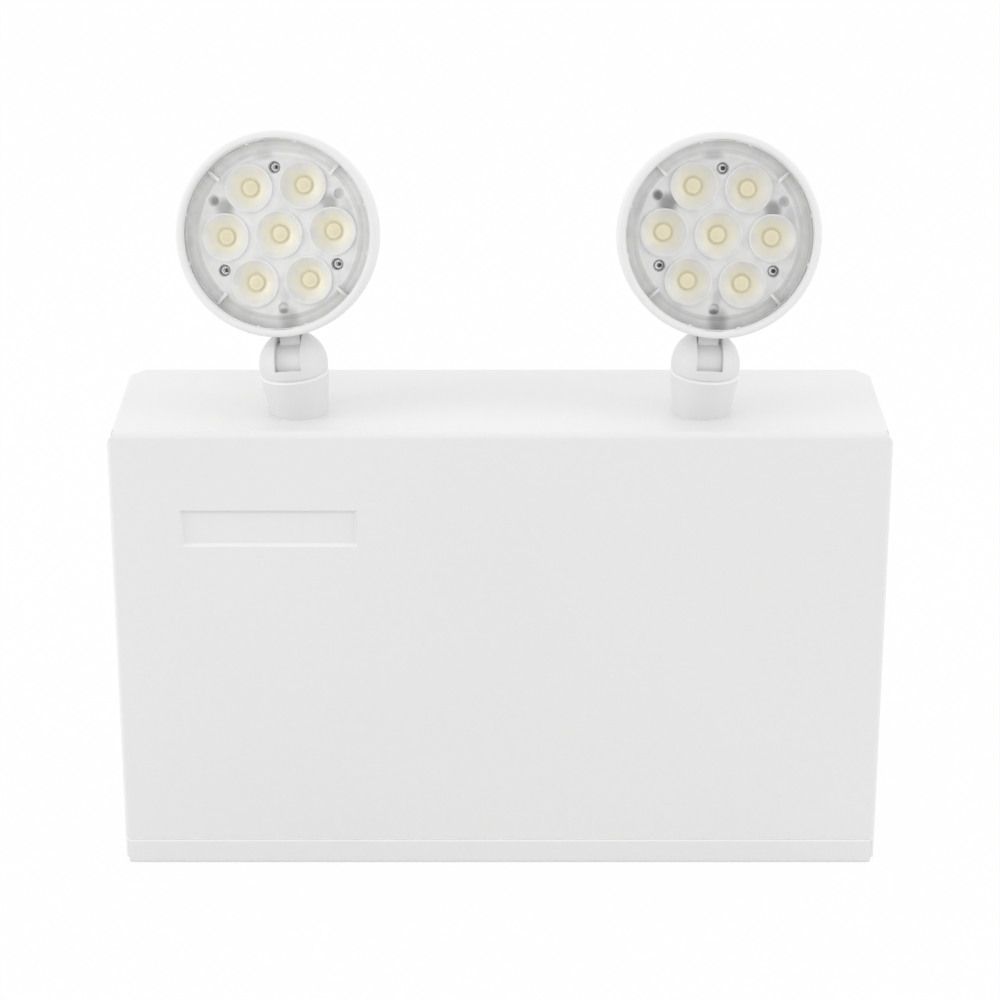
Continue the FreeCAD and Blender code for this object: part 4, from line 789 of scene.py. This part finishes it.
def milky_plate(side, face, settings):
    """Milky moulding with a painted yellow reflection of the phosphor round each emitter, painted shade at
    its rim, and soft painted shadows from behind.
    """
    # The right plate gets painted shade all over and stronger painted shadows
    share, strength = (settings.right_plate_shade, settings.right_shadow_strength) if side == "right" else (1.0, 1.0)
    finish = Finish(
        f"{side}_milky_plate", share * np.array(settings.milk), coarse=0.0012, fine=0.0004, tone=0.02,
        bump=0.03, roughness=(0.3, 0.4),
    )
    tree = finish.tree
    spot = on_face(finish, face)
    phosphor_reflection_through_haze(finish, spot, share * np.array(settings.glow), settings)
    cup = cup_distance(finish, spot, settings)
    # Painted shade right beside each collar
    foot_end = settings.collar_ring + settings.foot
    finish.shade(soft_ramp(tree, cup, settings.collar_ring, foot_end, settings.foot_shade, 1.0))
    slope_and_rim(finish, spot, settings)
    # Painted shadows of what lies behind the plate, kept off the cups
    marks = add(tree, "ShaderNodeGroup", {"Vector": spot}, node_tree=marks_group())
    between_cups = ramp(tree, cup, settings.cup_edge - settings.edge_soft, settings.cup_edge)
    dimmed = calculate(tree, "POWER", marks.outputs["Light"], strength)
    light = add(tree, "ShaderNodeMix", {"Factor": between_cups, "A": 1.0, "B": dimmed})
    finish.shade(light.outputs["Result"])
    return finish.material


def emitter_phosphor(side, face, settings):
    """Yellow phosphor with painted light towards its edge and a fine ring of painted shade on the edge
    itself.
    """
    finish = Finish(f"{side}_phosphor", settings.phosphor, coarse=0.0006, fine=0.0002, tone=0.05, bump=0.05)
    edge = settings.emitter_edge
    away = cup_distance(finish, on_face(finish, face), settings)
    finish.shade(soft_ramp(finish.tree, away, edge * EDGE_LIGHT_FROM, edge * EDGE_LIGHT_TO, 1.0, settings.phosphor_edge_light))
    finish.shade(soft_ramp(finish.tree, away, edge - settings.edge_soft, edge, 1.0, settings.emitter_ring_shade))
    return finish.material


def lamp_screw(side, face, settings):
    """Pale screw head with painted shade over its socket, shifted to the right."""
    finish = Finish(f"{side}_lamp_screw", settings.screw, coarse=0.0008, fine=0.0002, tone=0.04, bump=0.03)
    axes = around(settings.screw_ring, SCREW_ANGLES) + np.array([settings.screw_shift, 0.0, 0.0])
    away = axis_distance(finish, on_face(finish, face), "Screw distance", axes)
    start = settings.screw_socket * SOCKET_FROM
    end = settings.screw_socket * SOCKET_TO
    # Painted shade over the socket
    finish.shade(soft_ramp(finish.tree, away, start, end, settings.socket_shade, 1.0))
    return finish.material


# Cabinet: reach of the painted shade and highlight on the pressed strip's walls as a share of a wall's width,
# and how much lower and wider the painted shade on the upper wall is, as shares of that reach
WALL_REACH = 0.6
UPPER_DROP = 1 / 3
UPPER_SPREAD = 1.3


def powder_coat(name, colour, settings):
    return Finish(name, colour, settings.peel, settings.speck, bump=0.12)


def near(finish, value, middle, reach):
    """One where a value is within reach of a middle, and zero elsewhere."""
    return calculate(finish.tree, "COMPARE", value, middle, reach)


def shade_cover(finish, settings):
    """Paints shade and highlight on the pressed strip's walls, and light in a band right above the hem.

    The strip gets painted shade along the top and at its right end, and a painted highlight along the bottom.
    The band is painted light over the shade in the crease above the hem.
    """
    place = split(finish.tree, finish.place)
    across, up = place["X"], place["Z"]
    middle_x, middle_z = settings.strip_middle
    half_x, half_z = settings.strip_half
    reach = settings.strip_wall * WALL_REACH
    within_x = near(finish, across, middle_x, half_x + reach)
    within_z = near(finish, up, middle_z, half_z - reach)
    upper = near(finish, up, middle_z + half_z - reach * UPPER_DROP, reach * UPPER_SPREAD)
    lower = near(finish, up, middle_z - half_z, reach)
    end = near(finish, across, middle_x + half_x, reach)
    # Painted shade on the upper wall and the right end, painted highlight on the lower wall
    for wall, within, colour in (
        (upper, within_x, settings.strip_shade),
        (lower, within_x, settings.strip_light),
        (end, within_z, settings.strip_end_shade),
    ):
        finish.tint(colour, calculate(finish.tree, "MULTIPLY", wall, within))
    # Painted light band over the shade in the crease right above the hem
    finish.tint(settings.hem_light, near(finish, up, settings.band_height, settings.band_half))


# Mouldings: width of the coarse bumps in grains
COARSE_GRAINS = 3


def white_moulding(name, colour, settings, **gloss):
    """White moulded plastic with a fine grain."""
    return Finish(name, colour, settings.grain * COARSE_GRAINS, settings.grain, bump=0.06, **gloss)


def swivel_base(side, settings):
    """White base with a painted highlight on the chamfered rim under the dome."""
    finish = white_moulding(f"{side}_swivel_base", settings.base, settings, roughness=(0.3, 0.4))
    axis = np.array(joint_named(f"{side}_pan")["axis"])
    edge = (node_points(f"{side}_swivel_base") @ axis).max() - settings.rim_edge
    height = calculate_vector(finish.tree, "DOT_PRODUCT", finish.place, tuple(axis), output="Value")
    # Painted highlight along the rim
    finish.tint(settings.rim, ramp(finish.tree, height, edge - settings.rim_soft, edge + settings.rim_soft))
    return finish.material


def lamp_housing(side, settings):
    """White housing with painted light on its neck and barrel, which sit in the shade of the dome's slot."""
    finish = white_moulding(f"{side}_lamp_housing", settings.swivel, settings)
    height = split(finish.tree, on_face(finish, Face(side)))["Y"]
    neck = -settings.neck_from
    # Painted light on the neck and barrel
    finish.tint(settings.rim, ramp(finish.tree, height, neck - settings.neck_soft, neck, 1.0, 0.0))
    return finish.material


# Studio: place, width and height of each soft lamp
LAMPS = {
    "left_lamp": ((-1.5, -0.4, 0.75), 0.5, 1.2),
    "right_lamp": ((1.5, -0.3, 0.75), 0.5, 1.2),
    "back_lamp": ((0.0, 1.2, 1.5), 1.4, 1.4),
}


def seen_directly(tree):
    """One for camera, glossy and transmission rays, which show the background as it is, and else zero."""
    path = add(tree, "ShaderNodeLightPath").outputs
    mirrored = calculate(tree, "MAXIMUM", path["Is Camera Ray"], path["Is Glossy Ray"])
    return calculate(tree, "MAXIMUM", mirrored, path["Is Transmission Ray"])


def make_floor(settings):
    """Flat square under the light: z is constant over a grid of x and y."""
    ends = np.linspace(-settings.floor_half, settings.floor_half, 2)
    across, deep = np.meshgrid(ends, ends)
    points = np.stack([across, deep, np.full_like(across, -settings.floor_drop)], axis=-1).reshape(-1, 3)
    mesh = bpy.data.meshes.new("studio_floor")
    mesh.from_pydata(points.tolist(), [], [(0, 1, 3, 2)])
    floor = bpy.data.objects.new("studio_floor", mesh)
    bpy.context.scene.collection.objects.link(floor)
    material, tree, shader, output = new_material("studio_floor")
    shader.inputs["Base Color"].default_value = opaque(settings.floor)
    shader.inputs["Roughness"].default_value = settings.floor_rough
    shader.inputs["Specular IOR Level"].default_value = 0.0
    glow = add(tree, "ShaderNodeEmission", {"Color": WHITE, "Strength": 1.0})
    share = calculate(tree, "MULTIPLY", seen_directly(tree), settings.floor_white)
    mix = add(tree, "ShaderNodeMixShader", {
        0: share, 1: shader.outputs["BSDF"], 2: glow.outputs["Emission"],
    })
    tree.links.new(mix.outputs["Shader"], output.inputs["Surface"])
    mesh.materials.append(material)


def make_surround(settings):
    """White surround: full white to the eye, softer as a light."""
    world = bpy.data.worlds.new("studio_surround")
    world.use_nodes = True
    tree = world.node_tree
    tree.nodes.clear()
    strength = ramp(tree, seen_directly(tree), 0.0, 1.0, low=settings.surround)
    sky = add(tree, "ShaderNodeBackground", {"Color": WHITE, "Strength": strength})
    add(tree, "ShaderNodeOutputWorld", {"Surface": sky.outputs["Background"]})
    bpy.context.scene.world = world


def make_lamp(name, power, aim_height):
    """Large soft lamp, aimed at the middle of the light."""
    place, wide, tall = LAMPS[name]
    lamp = bpy.data.lights.new(name, "AREA")
    lamp.energy = power
    lamp.shape = "RECTANGLE"
    lamp.size = wide
    lamp.size_y = tall
    stand = bpy.data.objects.new(name, lamp)
    stand.location = place
    aim = Vector((0.0, 0.0, aim_height)) - stand.location
    stand.rotation_euler = aim.to_track_quat("-Z", "Y").to_euler()
    bpy.context.scene.collection.objects.link(stand)


def make_camera(settings):
    """Camera at the photograph's viewing angle."""
    camera = bpy.data.cameras.new("photo_camera")
    camera.lens = settings.camera_lens
    camera.sensor_width = settings.camera_sensor
    camera.clip_end = settings.camera_end
    eye = bpy.data.objects.new("photo_camera", camera)
    eye.location = (0.0, -settings.camera_back, settings.camera_up)
    eye.rotation_euler = (math.pi / 2 - settings.camera_dip, 0.0, 0.0)
    bpy.context.scene.collection.objects.link(eye)
    bpy.context.scene.camera = eye


# Operators


class EMERGENCYLIGHT_OT_cabinet(bpy.types.Operator):
    """Paints the cover and the chassis, and hems the chassis lip."""

    bl_idname = "emergencylight.cabinet"
    bl_label = "Paint the cabinet"

    def execute(self, context):
        settings = context.scene.emergencylight_cabinet
        cover = powder_coat("cover_powder_coat", settings.paint, settings)
        shade_cover(cover, settings)
        chassis = powder_coat("chassis_powder_coat", settings.paint, settings)
        # A lighter copy of the powder coat for the hem: painted highlight along the lip
        hem = powder_coat("hem_powder_coat", settings.hem_light, settings)
        finish_slot("cover_paint", cover.material)
        finish_slot("chassis_paint", chassis.material)
        lip_hem(settings, hem.material)
        return {"FINISHED"}


class EMERGENCYLIGHT_OT_mouldings(bpy.types.Operator):
    """Finishes the swivels, the lamp housings and the bezels, and adds the washers and the lens beads."""

    bl_idname = "emergencylight.mouldings"
    bl_label = "Finish the mouldings"

    def execute(self, context):
        settings = context.scene.emergencylight_heads
        moulding = white_moulding("white_moulding", settings.swivel, settings)
        bezel = white_moulding("white_bezel", settings.bezel, settings)
        finish_slot("swivel_white", moulding.material)
        finish_slot("bezel_white", bezel.material)
        for side in SIDES:
            finish_node(f"{side}_swivel_base", swivel_base(side, settings))
            finish_node(f"{side}_lamp_housing", lamp_housing(side, settings))
            friction_washers(side, settings, moulding.material)
            lens_bead(side, settings, bezel.material)
        return {"FINISHED"}


class EMERGENCYLIGHT_OT_hardware(bpy.types.Operator):
    """Finishes the screws, the side controls and everything inside the cabinet."""

    bl_idname = "emergencylight.hardware"
    bl_label = "Finish the hardware"

    def execute(self, context):
        for slot, values in HARDWARE.items():
            finish = Finish(slot, *values)
            if slot in HARDWARE_RIDGES:
                finish.draw_lines(*HARDWARE_RIDGES[slot])
            finish_slot(slot, finish.material)
        return {"FINISHED"}


class EMERGENCYLIGHT_OT_optics(bpy.types.Operator):
    """Finishes the lenses, plates, boards, emitters and lamp screws, and adds the collars and the grey rings
    of painted shade round the screw heads.

    It runs after the hardware, because the lamp screws share a slot with the other screws.
    """

    bl_idname = "emergencylight.optics"
    bl_label = "Finish the optics"

    def execute(self, context):
        settings = context.scene.emergencylight_optics
        board = Finish("white_lamp_board", settings.board, coarse=0.001, fine=0.0003, bump=0.03)
        # Grey for the rings that stand in for the shade in the gaps round the screw heads: painted shade
        bush = Finish("grey_bush", settings.gap_shade_grey, coarse=0.0008, fine=0.0002, tone=0.1, bump=0.03)
        finish_slot("clear_lens", clear_lens_material(settings))
        finish_slot("lamp_board_white", board.material)
        for side in SIDES:
            face = Face(side)
            body = f"{side}_head"
            milky = milky_plate(side, face, settings)
            finish_node(f"{side}_collimator_plate", milky)
            finish_node(f"{side}_emitters", emitter_phosphor(side, face, settings))
            finish_node(f"{side}_lamp_screws", lamp_screw(side, face, settings))
            rings_on_face(
                f"{side}_emitter_collars", face, cup_axes(settings), settings.collar_depth,
                settings.collar_ring, settings.collar, body, milky,
            )
            # Grey rings in the gaps round the screw heads: painted shade
            rings_on_face(
                f"{side}_screw_bushes", face, around(settings.screw_ring, SCREW_ANGLES), settings.bush_depth,
                settings.bush_ring, settings.bush, body, bush.material,
            )
        return {"FINISHED"}


class EMERGENCYLIGHT_OT_stage(bpy.types.Operator):
    """Sets up the pale floor, the soft light and the camera."""

    bl_idname = "emergencylight.stage"
    bl_label = "Set up the studio"

    def execute(self, context):
        settings = context.scene.emergencylight_stage
        context.scene.view_settings.view_transform = "Standard"
        make_floor(settings)
        make_surround(settings)
        for name in LAMPS:
            make_lamp(name, getattr(settings, name), settings.aim_height)
        make_camera(settings)
        return {"FINISHED"}


class EMERGENCYLIGHT_PT_panel(bpy.types.Panel):
    """Lists the steps that dress the emergency light."""

    bl_idname = "EMERGENCYLIGHT_PT_panel"
    bl_label = "Emergency light"
    bl_space_type = "VIEW_3D"
    bl_region_type = "UI"
    bl_category = "Emergency light"

    def draw(self, context):
        for operator in OPERATORS:
            self.layout.operator(operator.bl_idname)


SETTINGS = {
    "emergencylight_cabinet": CabinetSettings,
    "emergencylight_heads": HeadSettings,
    "emergencylight_optics": OpticsSettings,
    "emergencylight_stage": StageSettings,
}
OPERATORS = (
    EMERGENCYLIGHT_OT_cabinet,
    EMERGENCYLIGHT_OT_mouldings,
    EMERGENCYLIGHT_OT_hardware,
    EMERGENCYLIGHT_OT_optics,
    EMERGENCYLIGHT_OT_stage,
)


def register():
    for name, settings in SETTINGS.items():
        bpy.utils.register_class(settings)
        setattr(bpy.types.Scene, name, PointerProperty(type=settings))
    for operator in OPERATORS:
        bpy.utils.register_class(operator)
    bpy.utils.register_class(EMERGENCYLIGHT_PT_panel)


def unregister():
    bpy.utils.unregister_class(EMERGENCYLIGHT_PT_panel)
    for operator in reversed(OPERATORS):
        bpy.utils.unregister_class(operator)
    for name, settings in SETTINGS.items():
        delattr(bpy.types.Scene, name)
        bpy.utils.unregister_class(settings)


def main():
    register()
    bpy.ops.emergencylight.cabinet()
    bpy.ops.emergencylight.mouldings()
    bpy.ops.emergencylight.hardware()
    bpy.ops.emergencylight.optics()
    bpy.ops.emergencylight.stage()


if __name__ == "__main__":
    main()
